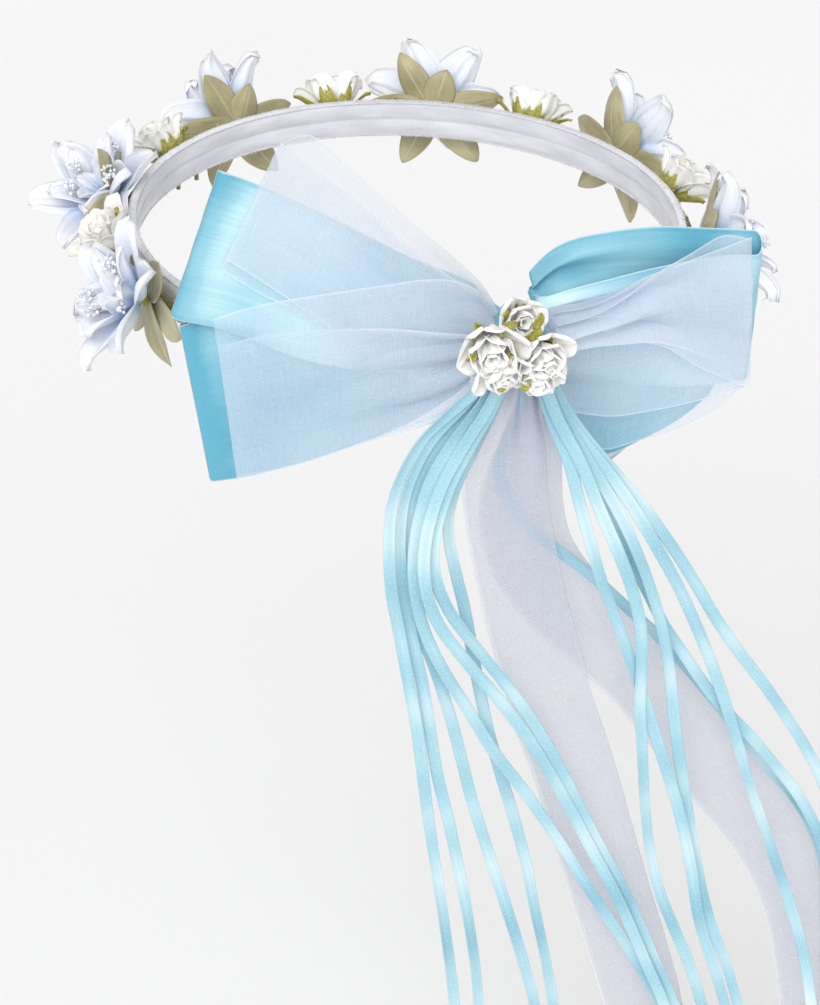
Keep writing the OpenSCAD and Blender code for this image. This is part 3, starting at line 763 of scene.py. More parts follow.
def streamer(name, route, top, low, seed):
    """One narrow satin streamer: a flat tube with thick woven edges that rolls slightly as it falls."""
    line = hanging_line(route, top, low, RIBBON_STEPS)
    across, face = ribbon_sides(line)
    run = run_along(line)
    phase = np.random.default_rng(seed).uniform(0, 2 * pi, 3)
    roll = radians(STREAMER_ROLL) * np.sin(run / ROLL_RUN + phase[0]) * smooth_step(run / 25)
    curl = STREAMER_CURL * np.sin(run / CURL_RUN + phase[1]) + 0.04
    c, half = STREAMER_SECTION
    lean = np.cos(roll)[:, None, None], np.sin(roll)[:, None, None]
    wide = across[:, None] * lean[0] + face[:, None] * lean[1]
    out = face[:, None] * lean[0] - across[:, None] * lean[1]
    bow = curl[:, None] * (c[None] ** 2 * 4 - 0.5) * 2.2
    points = line[:, None] + wide * (c * STREAMER_FACE_W)[None, :, None] + out * (half[None] + bow)[..., None]
    edge_uv = np.abs(np.linspace(0, 2, len(c) + 1) - 1)
    builder = Builder()
    builder.grid(points, uv_grid(run * MM, edge_uv * STREAMER_W * MM), True)
    builder.close_ends(line[0], line[-1], (0, UV_MIDDLE), (1, UV_MIDDLE))
    piece = builder.piece(name + "_satin", "streamer_satin", "ribbons", [name])


def tail(name, route, tops, top, low, seed):
    """An organza tail: 50 mm ribbon folded lengthwise, gathered at the tie, open along one side."""
    line = hanging_line(route, top, low, RIBBON_STEPS)
    widths = list(tops) + [TAIL_W] * (len(route) - len(tops))
    width = curve_through([(w, 0) for w in widths], RIBBON_STEPS)[:, 0]
    across, face = ribbon_sides(line)
    run = run_along(line)
    phase = np.random.default_rng(seed).uniform(0, 2 * pi, 4)
    v = np.sort(np.concatenate([np.linspace(0, 1, 41), (0.497, 0.503)]))
    fold = np.abs(2 * v - 1)                    # 1 at both selvedges, 0 at the fold
    front = np.where(v < 0.5, 1.0, -1.0)
    slip = np.where(v < 0.5, 0.0, -0.05) * fold
    side = (0.5 - fold - slip)[None]
    tight = (1 - smooth_step(run / GATHER_RUN))[:, None]
    sway = 0.35 * np.sin(run[:, None] / 26 + 2.2 * fold[None] + phase[0])
    pleats = tight * 0.9 * np.sin(fold[None] * 17 + phase[1] + 0.02 * run[:, None])
    gap = TAIL_GAP * front[None] * np.minimum(1, 6 * fold[None])
    offset = gap + pleats + sway * (1 - tight)
    flat = line[:, None] + across[:, None] * (side * width[:, None])[..., None]
    points = flat + face[:, None] * offset[..., None]
    builder = Builder()
    gather = np.clip(TAIL_W / width[:, None] - 1, 0, 1.5) * 0.6 + 0 * side
    builder.grid(points, uv_grid(run * MM, v * RIBBON_W * MM), gather=gather)
    piece = builder.piece(name + "_cloth", "tail_organza", "ribbons", [name])


def add_ribbons():
    sides = (("left", ROUTES_LEFT, LAYERS_LEFT, 0), ("right", ROUTES_RIGHT, LAYERS_RIGHT, 20))
    for side, routes, layers, first_seed in sides:
        for i, (route, layer) in enumerate(zip(routes, layers)):
            top = LAYER_FRONT_Y + LAYER_STEP * layer
            low = LAYER_FRONT_Y_LOW + LAYER_STEP_LOW * layer
            streamer(f"streamer_{side}_{i + 1}", route, top, low, first_seed + i)
    streamer("streamer_right_7", ROUTES_RIGHT[6], *REAR_STREAMER_Y, 40)
    tail("organza_tail_centre", ROUTE_TAIL_CENTRE, TAIL_CENTRE_TOPS, *TAIL_CENTRE_Y, 50)
    tail("organza_tail_right", ROUTE_TAIL_RIGHT, TAIL_RIGHT_TOPS, *TAIL_RIGHT_Y, 51)


def bundle_tie(side):
    """The gathered ribbon tops under their binding: a pleated soft block, waisted by two turns."""
    node = side + "_bundle_tie"
    centre, half = middle_and_half(node)
    columns, rows = 72, 15
    turn = np.linspace(0, 2 * pi, columns, endpoint=False)[None]
    level = np.linspace(-1, 1, rows)[:, None]
    waist = 1 - 0.14 * np.exp(-((np.abs(level) - 0.35) / 0.16) ** 2)
    pleat = 1 - 0.05 * (0.5 + 0.5 * np.cos(turn * 18 + 2 * np.sin(2 * turn)))
    shape = waist * pleat * squared(turn)
    points = np.stack([
        centre[0] + half[0] * shape * np.cos(turn),
        centre[1] + half[1] * shape * np.sin(turn),
        centre[2] + half[2] * level + 0 * turn,
    ], -1)
    builder = Builder()
    builder.grid(points, uv_grid(np.linspace(0, 0.004, rows), np.linspace(0, 0.04, columns + 1)), True)
    builder.close_ends(centre - (0, 0, half[2]), centre + (0, 0, half[2]))
    builder.piece(side + "_tie_satin", "streamer_satin", "ribbons", [node])


# ---------------------------------------------------------------- bow

KNOT_MIDDLE_Z = 17
KNOT_DROP = 3.5
KNOT_SHARES = (1, 0.96, 0.62)       # the shown wrap's size as shares of the CAD one's
LOOP_START = 7.5
SATIN_THICKNESS = 0.25
LOOP_EASE = 22                      # a loop has come fully forward this far out from the knot
HIDDEN_CLOTH = (0.6, 1.3)           # share of the spare cloth that the front and the back take up


def fold_pattern(x, z):
    """Depth of the gathers that spread from the knot, shared by all layers so that they nest."""
    reach = np.hypot(x, z - KNOT_MIDDLE_Z)
    turn = np.arctan2(z - KNOT_MIDDLE_Z, np.abs(x))
    side = np.where(x < 0, 0.6, 0.0)
    near = np.exp(-np.maximum(reach - 8, 0) / 12)
    far = np.exp(-np.maximum(reach - 10, 0) / 26)
    fine = 0.6 * np.sin(turn * 15 + side)
    broad = 1.7 * np.sin(turn * 6.2 + 1.2 + side * 2)
    crease = 1.6 * np.exp(-((turn + 0.03) / 0.10) ** 2)
    return near * fine + far * (broad + crease)


def puff(x, z):
    """How far the filled loops stand forward, shared by all layers."""
    return -3.2 * np.exp(-((np.abs(x) - 50) / 27) ** 2 - ((z - 14) / 30) ** 2)


def bow_loop(cloth_kind, place, front, back, depths, knot_depths, seed, painted_shade=(0, 0), pleats=4):
    """One loop of 50 mm ribbon. front and back give (bottom edge, top edge) from the knot to the
    fold, seen from the front, and depths their y; the layers meet in a soft turn at the fold.
    Where an outline is narrower than the ribbon, the spare cloth goes into pleats, fewer in front.
    The pair after the seed is painted shade that darkens the colour of the front and the back; below 0 it is
    painted light."""
    rows, columns, turn_rows = 60, 65, 7
    v = np.linspace(0, 1, columns)[None]
    wave = 2 * pi * pleats * v
    satin_cloth = cloth_kind == "satin"
    outward_y = 1 if satin_cloth else -1
    layers = []
    for (bottom, top), depth, knot_depth, hidden in zip((front, back), depths, knot_depths, HIDDEN_CLOTH):
        low, high = evenly(bottom, rows), evenly(top, rows)
        spare = np.clip(RIBBON_W - np.linalg.norm(high - low, axis=1), 0, None)
        spare *= 1 - 0.75 * smooth_step((np.abs(low[:, 0]) - 20) / 42)
        fullness = hidden * (spare / (4 * pleats))[:, None]
        share = v + 0.35 * np.minimum(fullness, 1.8) * np.sin(wave) / (2 * pi * pleats)
        flat = low[:, None] * (1 - share)[..., None] + high[:, None] * share[..., None]
        x, z = flat[..., 0], flat[..., 1]
        away = smooth_step((np.abs(x) - LOOP_START) / LOOP_EASE)
        y = knot_depth + (depth - knot_depth) * away + outward_y * fullness * (1 + np.cos(wave))
        layers.append(np.stack([x, y, z], -1))
    front_end, back_end = layers[0][-1], layers[1][-1]
    outward = layers[0][-1] - layers[0][-3]
    outward /= np.linalg.norm(outward, axis=1)[:, None]
    s = np.linspace(0, 1, turn_rows + 2)[1:-1, None, None]
    ease = 0.5 - 0.5 * np.cos(pi * s)
    bulge = 0.45 * abs(depths[0] - depths[1]) * np.sin(pi * s)
    turn = front_end[None] * (1 - ease) + back_end[None] * ease + outward[None] * bulge
    cloth = np.concatenate([layers[0], turn, layers[1][::-1]])
    x, z = cloth[..., 0], cloth[..., 2]
    phase = np.random.default_rng(seed).uniform(0, 2 * pi, 3)
    slack = 0.35 * np.sin(x / 9 + phase[0]) * np.sin(z / 11 + phase[1])
    slack += 0.25 * np.sin((x + z) / 17 + phase[2])
    depth_change = fold_pattern(x, z) + puff(x, z) + slack
    cloth[..., 1] += depth_change * smooth_step((np.abs(x) - LOOP_START + 4) / 6)
    run = run_along(cloth.mean(1))
    height = np.linalg.norm(cloth[:, -1] - cloth[:, 0], axis=1)
    gather = np.clip(RIBBON_W / height[:, None] - 1, 0, 1.4) * 0.55 + 0 * x
    # On satin the mesh value is painted shade instead: deepest at the fold turn and along the edges, and
    # shifted for each face by the given pair, which is painted light where below 0.
    if satin_cloth:
        from_fold = np.abs(run - run[rows + turn_rows // 2])[:, None]
        edges = np.abs(2 * v - 1) ** 8
        side = np.where(np.arange(len(run)) < rows + turn_rows // 2, *painted_shade)[:, None]
        gather = side + 1.1 * np.exp(-(from_fold / 6) ** 2) + 0.5 * edges
    builder = Builder()
    builder.grid(cloth, uv_grid(run * MM, v[0] * RIBBON_W * MM), gather=gather)
    name = f"{cloth_kind}_loop_{place}"
    thickness = SATIN_THICKNESS if satin_cloth else 0.0
    piece = builder.piece(name + "_cloth", "bow_" + cloth_kind, "crown", [name], thickness)


def add_bow():
    # The last pair of each satin loop is painted shade on its front and back; below 0 it is painted light.
    bow_loop(
        "satin", "left_upper",
        front=([(-7.5, 8), (-30, 10), (-60, 19), (-80, 29), (-93.5, 33.5)],
            [(-7.5, 29), (-16, 36), (-29, 44), (-54, 60), (-73, 71), (-80.5, 74.5)]),
        back=([(-7.5, 7), (-30, 10), (-60, 19), (-80, 29), (-93, 34)],
            [(-7.5, 28), (-16, 34), (-29, 42), (-54, 58), (-73, 69), (-80.5, 73)]),
        depths=(-103.6, -99.2), knot_depths=(-101, -97.5), seed=1, painted_shade=(-0.6, 0)
    )
    bow_loop(
        "satin", "left_lower",
        front=([(-7.5, 3), (-14, -1), (-45, -12), (-70, -17.5), (-83.5, -18.5)],
            [(-7.5, 24), (-30, 33), (-60, 36), (-80, 34), (-91.5, 30.5)]),
        back=([(-7.5, 4), (-14, 0), (-45, -10), (-70, -16), (-83, -17)],
            [(-7.5, 23), (-30, 31), (-60, 34), (-80, 33), (-91, 29.5)]),
        depths=(-101.2, -98.4), knot_depths=(-99, -96), seed=2, painted_shade=(0.3, 0)
    )
    bow_loop(
        "satin", "right_upper",
        front=([(7.5, 8), (30, 1), (50, -3), (69, -4)],
            [(7.5, 26), (20, 30.5), (40, 35), (58, 37), (69, 36)]),
        back=([(7.5, 8), (30, 2), (50, -2), (69, -3)],
            [(7.5, 31), (14, 39), (24, 43.5), (40, 45), (58, 43), (70, 41)]),
        depths=(-103.4, -98.6), knot_depths=(-101, -97), seed=3, painted_shade=(-0.7, 0.25)
    )
    bow_loop(
        "satin", "right_lower",
        front=([(7.5, 3), (14, -8), (22, -19), (30, -25), (41, -21), (52, -15), (60, -8)],
            [(7.5, 26), (25, 28), (45, 28), (67, 27)]),
        back=([(7.5, 4), (14, -6), (22, -16), (30, -22), (41, -18), (52, -12), (59, -6)],
            [(7.5, 25), (25, 27), (45, 27), (66, 26)]),
        depths=(-101.4, -98.2), knot_depths=(-99, -96), seed=4, painted_shade=(0.3, 0)
    )
    bow_loop(
        "organza", "left_upper",
        front=([(-7.5, 10), (-15, 9.5), (-23, 9), (-32, 13), (-48, 25), (-65, 39), (-81, 51.5)],
            [(-7.5, 30), (-15, 36), (-28, 47), (-45, 64), (-61, 78), (-67, 83.5)]),
        back=([(-7.5, 10), (-15, 10), (-23, 8), (-30, 10), (-46, 21), (-62, 34), (-72, 40), (-82.5, 48)],
            [(-7.5, 31), (-13, 39), (-28, 54), (-41, 67), (-56, 82), (-61, 84.5), (-66, 83)]),
        depths=(-107.2, -105.2), knot_depths=(-105, -103), seed=5
    )
    bow_loop(
        "organza", "left_lower",
        front=([(-7.5, 10), (-14, 9), (-18, 3), (-30, -1), (-43, -4), (-62, -10), (-79, -13.5)],
            [(-7.5, 30), (-12, 36), (-25, 42), (-44, 42), (-72, 40), (-85.5, 37)]),
        back=([(-7.5, 9), (-14, 7), (-20, 2), (-32, -2), (-45, -5), (-63, -11), (-77, -13)],
            [(-7.5, 24), (-20, 27), (-40, 30), (-69, 30.5), (-83.5, 28)]),
        depths=(-110.6, -108.8), knot_depths=(-108, -106.5), seed=6, pleats=3
    )
    bow_loop(
        "organza", "right_upper",
        front=([(7.5, 22), (12, 25), (20, 24), (33, 18), (41, 15), (52, 7), (67.5, -2)],
            [(7.5, 29), (20, 33), (32, 38), (42, 40), (63, 45)]),
        back=([(7.5, 20), (20, 21), (34, 19), (46, 14), (57, 8), (68, 1)],
            [(7.5, 28), (20, 33), (33, 38.5), (46, 42.5), (56, 46), (64, 44)]),
        depths=(-110.4, -108.4), knot_depths=(-108, -106), seed=7, pleats=2
    )
    bow_loop(
        "organza", "right_lower",
        front=([(7.5, 5), (13, -4), (27, -8), (40, -7), (57, -5), (67, -3.5)],
            [(7.5, 26), (20, 29), (40, 33), (57, 33), (67, 31)]),
        back=([(7.5, 4), (14, -10), (27, -21), (39, -19), (49, -16), (61, -10), (66, -5)],
            [(7.5, 25), (20, 28), (40, 31), (57, 31), (66.5, 29)]),
        depths=(-107, -105), knot_depths=(-105, -103), seed=8, pleats=2
    )


def add_knot():
    """Ribbon wrapped round the middle of the bow: soft pleats that run round it."""
    centre, half = middle_and_half("knot_wrap")
    centre = centre - (0, 0, KNOT_DROP)
    half = half * KNOT_SHARES
    rows, columns = 45, 96
    across = np.linspace(-1, 1, rows)[:, None]
    turn = np.linspace(0, 2 * pi, columns, endpoint=False)[None]
    round_off = (1 - np.abs(across) ** 5) ** 0.5 * 0.14 + 0.86
    pleat = 0.045 * np.sin(across * 13 + 1.5 * np.sin(turn) + 0.6 * np.sin(3 * turn))
    waist = 0.94 + 0.06 * across ** 2
    shape = (round_off * waist + pleat) * squared(turn)
    points = np.stack([
        centre[0] + half[0] * across + 0 * turn,
        centre[1] + half[1] * shape * np.cos(turn),
        centre[2] + half[2] * shape * np.sin(turn),
    ], -1)
    ribbon_uv = uv_grid(np.linspace(0.002, 0.048, rows), np.linspace(0, 0.09, columns + 1))[..., ::-1]
    builder = Builder()
    builder.grid(points, ribbon_uv, True)
    builder.close_ends(centre - (half[0], 0, 0), centre + (half[0], 0, 0), (0, 0.02), (0, 0.02))
    builder.piece("knot_pleats", "bow_satin", "crown", ["knot_wrap"])


# ---------------------------------------------------------------- petals, roses and leaves

BLOOM_STEM = 6
PLEAT_SHARE = 0.13
# Degrees by which each bloom leans up from straight out and sways along the ring, then degrees by
# which each of its bead sprays leans from its middle
BLOOM_LEANS = (10, 22, 12, 8, 14, 62, 26, 20)
BLOOM_SWAYS = (0, -14, 10, 0, -12, -28, 12, 0)
SPRAY_LEANS = (24, 50, 30, 50, 24)
BEADS_PER_SPRAY = 20
# Sizes of the long petal beside the bow, in the order in which petal() takes them
DROOPING_PETAL = (36, 20, -4, 10, 0, 0.15, 0.1, 0.8, 0.1)


def arched(slope, length):
    """Distance out and height of the points of an arch, from its slope at each of them."""
    step = length / (len(slope) - 1)
    out = np.concatenate([[0], np.cumsum(np.cos(slope[:-1]) * step)])
    return out, np.concatenate([[0], np.cumsum(np.sin(slope[:-1]) * step)])


def petal(length, width, lift, curl, flare, cup, crease, ruffle, point, rng, rows=13, cols=15):
    """Grid of one petal along +X from the flower's axis, which is +Z. lift is its slope at the base in
    degrees, curl how much it turns up along its length, flare how much its tip turns back out. cup and
    crease raise its sides, ruffle waves its rim, and point runs from a round tip, 0, to a sharp one, 1."""
    s = np.linspace(0, 1, rows)
    slope = np.radians(lift + curl * s - flare * np.clip((s - 0.6) / 0.4, 0, 1) ** 2)
    x, z = arched(slope, length)
    t = np.linspace(-1, 1, cols)
    grow = 0.2 + 0.8 * np.sin(np.clip(s / 0.62, 0, 1) * pi / 2)
    taper = np.sqrt(np.clip(1 - s ** (5 - 3 * point), 0, 1)) * (1 - 0.35 * point * s)
    half = (width / 2 * grow * taper)[:, None]
    phase = rng.uniform(0, 2 * pi, 2)
    lifted = cup * half * t[None] ** 2 + crease * half * np.abs(t)[None]
    wave = np.sin(phase[0] + 5 * t[None] + 2.5 * s[:, None]) + 0.6 * np.sin(phase[1] + 9 * t[None])
    lifted = lifted + ruffle * wave * (s ** 2)[:, None] * np.abs(t)[None] ** 1.5
    lifted = lifted + PLEAT_SHARE * half * np.cos(3 * pi * t)[None] * smooth_step(3 * s)[:, None]
    inward = np.stack([-np.sin(slope), np.zeros(rows), np.cos(slope)], -1)
    middle = np.stack([x, np.zeros(rows), z], -1)
    grid = middle[:, None] + inward[:, None] * lifted[..., None]
    grid[..., 1] += half * t[None] * (1 - 0.12 * cup)
    return grid, uv_grid(s, (t + 1) / 2)


def spun(points, degrees_round, out=0.0, up=0.0):
    """Points moved out and up, then turned about the flower's axis."""
    turn = Matrix.Rotation(radians(degrees_round), 4, "Z") @ Matrix.Translation((out, 0, up))
    return moved(turn, points)


def add_petals(builder, place, rings, rng):
    """Rings of petals, each (count, first turn, out, up, and petal's own sizes)."""
    for count, first, out, up, sizes in rings:
        for k in range(count):
            grid, uv = petal(*(value * rng.uniform(0.92, 1.08) for value in sizes), rng)
            turn = first + 360 / count * k + rng.uniform(-7, 7)
            builder.grid(moved(place, spun(grid, turn, out, up)), uv)


def bloom_place(i):
    """Where the petals of a silk flower stand: on top of its stem, leaning there."""
    scale = BOW_FLOWER_SCALE if behind_bow(i) else 1
    stem = Matrix.Translation((0, 0, BLOOM_STEM))
    lean = Matrix.Rotation(radians(-BLOOM_LEANS[i]), 4, "Y")
    sway = Matrix.Rotation(radians(BLOOM_SWAYS[i]), 4, "X")
    return on_wire(flower_angle(i)) @ Matrix.Scale(scale, 4) @ stem @ (lean @ sway)


def silk_flower(i):
    """One silk flower: broad frilled outer petals and a blue-throated cup of small ones. The first,
    half behind the bow, has one long petal that droops past it."""
    rng = np.random.default_rng(100 + i)
    place = bloom_place(i)
    builder = Builder()
    add_petals(builder, place, (
        (6, 12 * i, 1.5, 0.0, (24, 18, 16, 30, 70, 0.3, 0.35, 2.0, 0.7)),
        (5, 40 + 9 * i, 1.2, 0.8, (19, 15, 36, 26, 60, 0.4, 0.25, 1.8, 0.6)),
        (4, 10 + 9 * i, 0.8, 1.2, (12, 10, 56, 16, 45, 0.6, 0.1, 1.1, 0.4)),
    ), rng)
    if i == 0:
        grid, uv = petal(*DROOPING_PETAL, rng)
        builder.grid(moved(on_wire(flower_angle(i)), spun(grid, -14, 2, BLOOM_STEM)), uv)
    builder.piece(f"petals_{i + 1}_silk", "petal_silk", "crown", [f"petals_{i + 1}"], thickness=PETAL_T)


def add_stamens():
    """Sprays of beads on fine stems in the middle of each silk flower."""
    builder = Builder()
    for i in range(FLOWER_COUNT):
        rng = np.random.default_rng(200 + i)
        place = bloom_place(i)
        for k in range(5):
            lean = radians(SPRAY_LEANS[k])
            turn = radians(72 * k + 20)
            spread = Vector((cos(turn) * sin(lean), sin(turn) * sin(lean), cos(lean)))
            root = Vector((1.3 * cos(turn), 1.3 * sin(turn), 2))
            neck = root + spread * 10
            tube(builder, moved(place, [root, (root + neck) / 2, neck]), 0.3, 5)
            for _ in range(BEADS_PER_SPRAY):
                scatter = Vector(rng.normal(0, 1, 3)).normalized() * rng.uniform(1.2, 2.7)
                tip = root + spread * 13.5 + scatter
                line = moved(place, [neck, (neck + tip) / 2 + scatter * 0.2, tip])
                tube(builder, line, 0.1, 3)
                ball(builder, line[-1], 0.58 * rng.uniform(0.8, 1.2), 5, 6)
    builder.piece("stamen_bead_sprays", "stamen_beads", "crown", ["stamen_sprays"])


def leaf_grid(length, width, bend, curl, rng):
    """One leaf along +Y, creased along its mid vein, rising towards +Z and curling at its tip."""
    rows, columns = 15, 9
    s = np.linspace(0, 1, rows)
    slope = np.radians(4 + bend * s + curl * s ** 3)
    y, z = arched(slope, length)
    t = np.linspace(-1, 1, columns)
    half = (width / 2 * np.sin(pi * np.clip(s, 0.01, 0.997) ** 0.9) ** 0.62)[:, None]
    phase = rng.uniform(0, 2 * pi)
    rise = half * (0.32 * np.abs(t)[None] - 0.1 * t[None] ** 2)
    rise = rise + 0.35 * np.sin(phase + 7 * s)[:, None] * t[None] ** 3
    middle = np.stack([np.zeros(rows), y, z], -1)
    upward = np.stack([np.zeros(rows), -np.sin(slope), np.cos(slope)], -1)
    grid = middle[:, None] + upward[:, None] * rise[..., None]
    grid[..., 0] += half * t[None] * 0.95
    return grid, uv_grid(s, (t + 1) / 2)


def add_leaves(i):
    """The six leaves under a silk flower, in two layers. Those below the garland hang."""
    rng = np.random.default_rng(300 + i)
    builder = Builder()
    place = on_wire(flower_angle(i))
    for k, turn in enumerate(LEAF_TURNS):
        length = (LEAF_L - 1.5 * (k % 3)) * (BOW_LEAF_SCALE if behind_bow(i) else 1)
        hanging = turn > 180        # 90 is straight up from the garland
        bend, curl = (-14, -12) if hanging else (10, rng.uniform(0, 40))
        if k == SHORT_LEAF:
            length *= SHORT_LEAF_SHARE
        grid, uv = leaf_grid(length, LEAF_W + WIDER_LEAF - (k % 2), bend, curl, rng)
        grid = spun(grid, turn + LEAF_SHIFT * (i % 3 - 1))
        lift = Matrix.Translation((0, 0, LEAF_LIFT + LEAF_LAYER * (k % 2)))
        builder.grid(moved(place @ lift, grid), uv)
    builder.piece(f"leaves_{i + 1}_silk", "leaf_silk", "crown", [f"leaves_{i + 1}"], thickness=LEAF_T)


def rolled_middle(builder, place, radius, height, rng):
    """A strip of paper rolled into a bud, with a wavy rim."""
    columns, rows = 44, 7
    turn = np.linspace(0, 4.4 * pi, columns)[None]
    level = np.linspace(0, 1, rows)[:, None]
    wide = radius * (0.25 + 0.75 * turn / turn.max()) * (0.55 + 0.45 * np.sin(level * pi * 0.62))
    top = height * (1 + 0.12 * np.sin(turn * 2.3 + rng.uniform(0, 6)))
    points = np.stack([wide * np.cos(turn), wide * np.sin(turn), level * top], -1)
    builder.grid(moved(place, points), uv_grid(np.linspace(0, 1, rows), np.linspace(0, 1, columns)))


def paper_rose(builder, place, r, rng):
    """An open rose of curled paper petals round a rolled middle, about the origin of place."""
    bottom = place @ Matrix.Translation((0, 0, -0.75 * r))
    add_petals(builder, bottom, (
        (5, 0, 0.3, 0.2, (1.9 * r, 1.6 * r, 8, 74, 95, 0.5, 0.0, 0.08 * r, 0.0)),
        (4, 30, 0.2, 0.6, (1.6 * r, 1.4 * r, 30, 60, 60, 0.6, 0.0, 0.07 * r, 0.0)),
        (3, 70, 0.2, 0.9, (1.35 * r, 1.1 * r, 56, 38, 20, 0.75, 0.0, 0.06 * r, 0.0)),
    ), rng)
    rolled_middle(builder, bottom @ Matrix.Translation((0, 0, 0.45 * r)), 0.34 * r, 0.75 * r, rng)


def knot_bloom(builder, place, r, rng):
    """A full paper bloom: large rounded petals that roll out at the rim and fill the middle."""
    bottom = place @ Matrix.Translation((0, 0, -0.7 * r))
    add_petals(builder, bottom, (
        (4, 20, 0.3, 0.0, (2.1 * r, 2.1 * r, 4, 84, 70, 0.4, 0.0, 0.12 * r, 0.0)),
        (4, 65, 0.2, 0.4, (1.8 * r, 1.8 * r, 26, 74, 80, 0.45, 0.0, 0.13 * r, 0.0)),
        (3, 10, 0.1, 0.8, (1.6 * r, 1.5 * r, 50, 56, 95, 0.5, 0.0, 0.13 * r, 0.0)),
        (3, 70, 0.0, 1.0, (1.4 * r, 1.1 * r, 70, 24, 90, 0.6, 0.0, 0.1 * r, 0.0)),
    ), rng)


def calyx(builder, place, r, side_leaf, rng):
    """Crepe sepals that hug the bottom of a rose, and two twisted side bits."""
    bottom = place @ Matrix.Translation((0, 0, -r - 0.4))
    for k in range(5):
        grid, uv = petal(1.75 * r, 1.05 * r, 10, 88, 30, 0.35, 0.15, 0.8, 0.55, rng, rows=10, cols=9)
        builder.grid(moved(bottom, spun(grid, 72 * k + rng.uniform(-8, 8), 0.4)), uv)
    for turn in (90, 270):
        grid, uv = petal(side_leaf + 0.5 * r, 4.2, 22, 25, 60, 0.2, 0.3, 0.6, 0.8, rng, rows=10, cols=7)
        builder.grid(moved(bottom, spun(grid, turn + rng.uniform(-14, 14), 0.35 * r, 0.6)), uv)


def add_garland_roses():
    roses, greens = Builder(), Builder()
    for i in range(ROSE_COUNT):
        rng = np.random.default_rng(400 + i)
        place = on_wire(rose_angle(i), ROSE_TILT) @ Matrix.Translation((0, 0, ROSE_CENTRE - ROSE_SINK))
        paper_rose(roses, place, ROSE_R, rng)
        calyx(greens, place, ROSE_R, 9, rng)
    roses.piece("paper_roses_petals", "rose_paper", "crown", ["paper_roses"], thickness=PAPER_T)
    greens.piece("rose_calyxes_crepe", "crepe_green", "crown", ["rose_calyxes"], thickness=CREPE_T)


def add_knot_flowers():
    """The three paper flowers on the knot, with bits of green crepe between them."""
    greens = Builder()
    blooms = {
        "left": (((-13.2, -124.3, 26.2), 6.4, 10, -12), ((-10.6, -124.6, 19.4), 5.0, 30, 6)),
        "right": (((1.0, -124.3, 22.0), 5.8, 6, 12), ((0.0, -124.6, 16.8), 4.4, 30, -8)),
        "top": (((-3.6, -118.0, 30.0), 4.8, -20, 4),),
    }
    for n, (name, heads) in enumerate(blooms.items()):
        builder = Builder()
        for k, (place, r, tilt_x, tilt_z) in enumerate(heads):
            rng = np.random.default_rng(500 + 10 * n + k)
            at = facing_front(place, tilt_x, tilt_z)
            knot_bloom(builder, at, r, rng)
            if k == 0:
                calyx(greens, at, 0.85 * r, 2.5, rng)
        node = f"paper_flower_{name}"
        builder.piece(node + "_petals", "flower_paper", "crown", [node], thickness=PAPER_T, levels=1)
    rng = np.random.default_rng(560)
    for x, z, length, turn in (
        (-17.5, 33.5, 3.5, 120), (-18, 26.5, 3.5, 200), (-11, 34, 4, 20), (-2.5, 32, 6, 75),
        (-1, 33, 5, 250), (-5.5, 28, 5, 60), (-7, 26, 4, 200), (-11, 17.2, 3, 280), (-4, 17.2, 3.5, 265)
    ):
        grid, uv = petal(length, 3.4, 10, 20, 30, 0.3, 0.4, 0.5, 0.5, rng, rows=9, cols=7)
        greens.grid(moved(facing_front((x, -126, z)), spun(grid, turn)), uv)
    greens.piece("paper_flower_crepe", "crepe_green", "crown", ["paper_flower_calyxes"], thickness=CREPE_T)


# ---------------------------------------------------------------- band

STITCHES = 640
POINTS_PER_STITCH = 7
FUZZ_HAIRS = 900
PUCKER_WAVES = 5


def add_band():
    """The satin sleeve: two soft channels over the hoops on both faces, drawn tight in the middle."""
    segments = 420
    level = np.concatenate([np.linspace(-1, 1, 25), np.linspace(1, -1, 25)])
    outer = np.concatenate([np.ones(25), np.zeros(25)])
    channel = np.abs(np.sin(pi * level)) ** 0.6
    middle_r = HEAD_R + BAND_T / 2
    half_t = BAND_T / 2 * (0.52 + 0.48 * channel) * (1 - 0.25 * np.abs(level) ** 8)
    around = np.linspace(0, 2 * pi, segments, endpoint=False)[:, None]
    rng = np.random.default_rng(7)
    pucker = np.zeros((segments, 1))
    for _ in range(PUCKER_WAVES):
        pucker = pucker + np.sin(around * int(rng.integers(60, 190)) + rng.uniform(0, 6)) / PUCKER_WAVES
    sag = pucker * 0.16 * (1 - channel)[None] + 0.08 * np.sin(around * 23 + level[None] * 2)
    radius = middle_r + np.where(outer > 0, 1, -1)[None] * (half_t[None] + sag - 0.08)
    height = BAND_H / 2 * level[None] + 0.08 * pucker * np.abs(level)[None] ** 6
    points = np.stack([radius * np.cos(around), radius * np.sin(around), height + 0 * around], -1)
    points = np.concatenate([points, points[:1]])
    run = np.linspace(0, 2 * pi * middle_r * MM, segments + 1)
    section = run_along(np.stack([np.where(outer > 0, half_t, -half_t), BAND_H / 2 * level], 1)) * MM
    builder = Builder()
    builder.grid(points, uv_grid(run, np.append(section, section[-1] + 0.001)), True)
    builder.piece("satin_sleeve_cloth", "band_satin", "crown", ["satin_sleeve"])


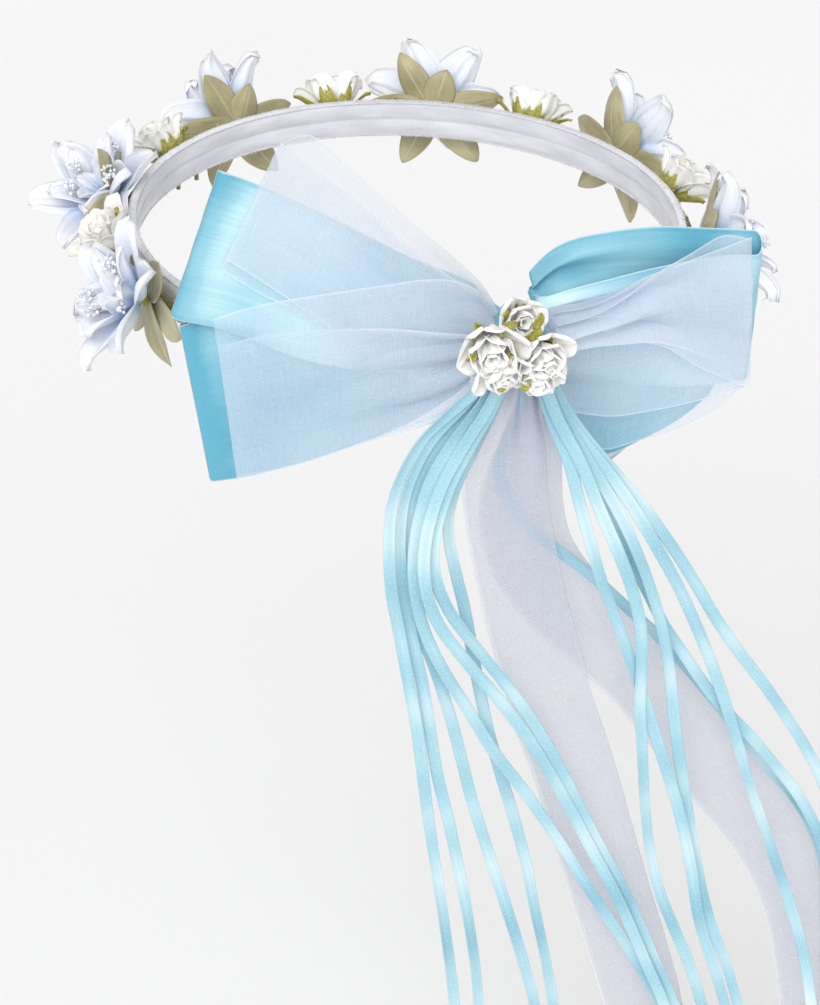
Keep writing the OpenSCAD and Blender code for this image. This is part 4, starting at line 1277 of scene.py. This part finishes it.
def add_edge(name, side):
    """Overcast stitching round one edge of the band: a thread that loops over it, with loose fuzz."""
    count = STITCHES * POINTS_PER_STITCH
    rng = np.random.default_rng(11 if side > 0 else 12)
    turn = np.linspace(0, 2 * pi * STITCHES, count, endpoint=False)
    around = np.linspace(0, 2 * pi, count, endpoint=False)
    loose = 0.12 * np.interp(np.linspace(0, 400, count), np.arange(401), rng.normal(0, 1, 401))
    radius = HEAD_R + BAND_T / 2 + (1.3 + 0.3 * loose) * np.sin(turn)
    height = side * (BAND_H / 2 - 0.05 + 0.3 * np.cos(turn) + 0.4 * loose)
    line = np.stack([radius * np.cos(around), radius * np.sin(around), height], -1)
    builder = Builder()
    tube(builder, line, 0.3, 5)
    for k in range(FUZZ_HAIRS):
        at = 2 * pi * (k + rng.uniform(0, 0.8)) / FUZZ_HAIRS
        r = HEAD_R + BAND_T / 2 + rng.uniform(-1.1, 1.1)
        root = np.array((r * cos(at), r * sin(at), side * (BAND_H / 2 + 0.3)))
        tip = root + (*rng.normal(0, 0.45, 2), side * rng.uniform(0.15, 0.75))
        tube(builder, [root, (root + tip) / 2 + rng.normal(0, 0.1, 3), tip], 0.07, 3)
    builder.piece(name + "_thread", "edge_stitching", "crown", [name])


# ---------------------------------------------------------------- everything

KEPT_NODES = {
    "core_hoops": "hoop_wire",
    "garland_wire": "floral_tape",
    "garland_ties": "thread",
    "flower_stems": "crepe_green",
    "bow_threads": "thread",
    "hanger_thread": "thread",
}


def finish_kept_nodes():
    for name, slot in KEPT_NODES.items():
        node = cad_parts[name]
        node.data.materials.clear()
        node.data.materials.append(MATERIALS[slot])
        node.data.polygons.foreach_set("use_smooth", [True] * len(node.data.polygons))


def add_floor():
    """A pale studio floor under the ribbons."""
    mesh = bpy.data.meshes.new("floor")
    corners = [(x * FLOOR_SIZE, y * FLOOR_SIZE, FLOOR_Z) for x, y in ((-1, -1), (1, -1), (1, 1), (-1, 1))]
    mesh.from_pydata(corners, [], [(0, 1, 2, 3)])
    m = Shader("floor", roughness=0.9, specular=0.1)
    grain = m.noise(m.local(), (3, 3, 3), 2)
    m.colour(grain, (0.3, linear(247, 247, 247)), (0.7, linear(249, 249, 249)))
    mesh.materials.append(m.material)
    floor = bpy.data.objects.new("floor", mesh)
    bpy.context.scene.collection.objects.link(floor)


add_camera()
add_room()
add_floor()
add_ribbons()
bundle_tie("left")
bundle_tie("right")
add_bow()
add_knot()
add_band()
add_edge("top_edge_stitch", 1)
add_edge("bottom_edge_stitch", -1)
for i in range(FLOWER_COUNT):
    silk_flower(i)
    add_leaves(i)
add_stamens()
add_garland_roses()
add_knot_flowers()
finish_kept_nodes()
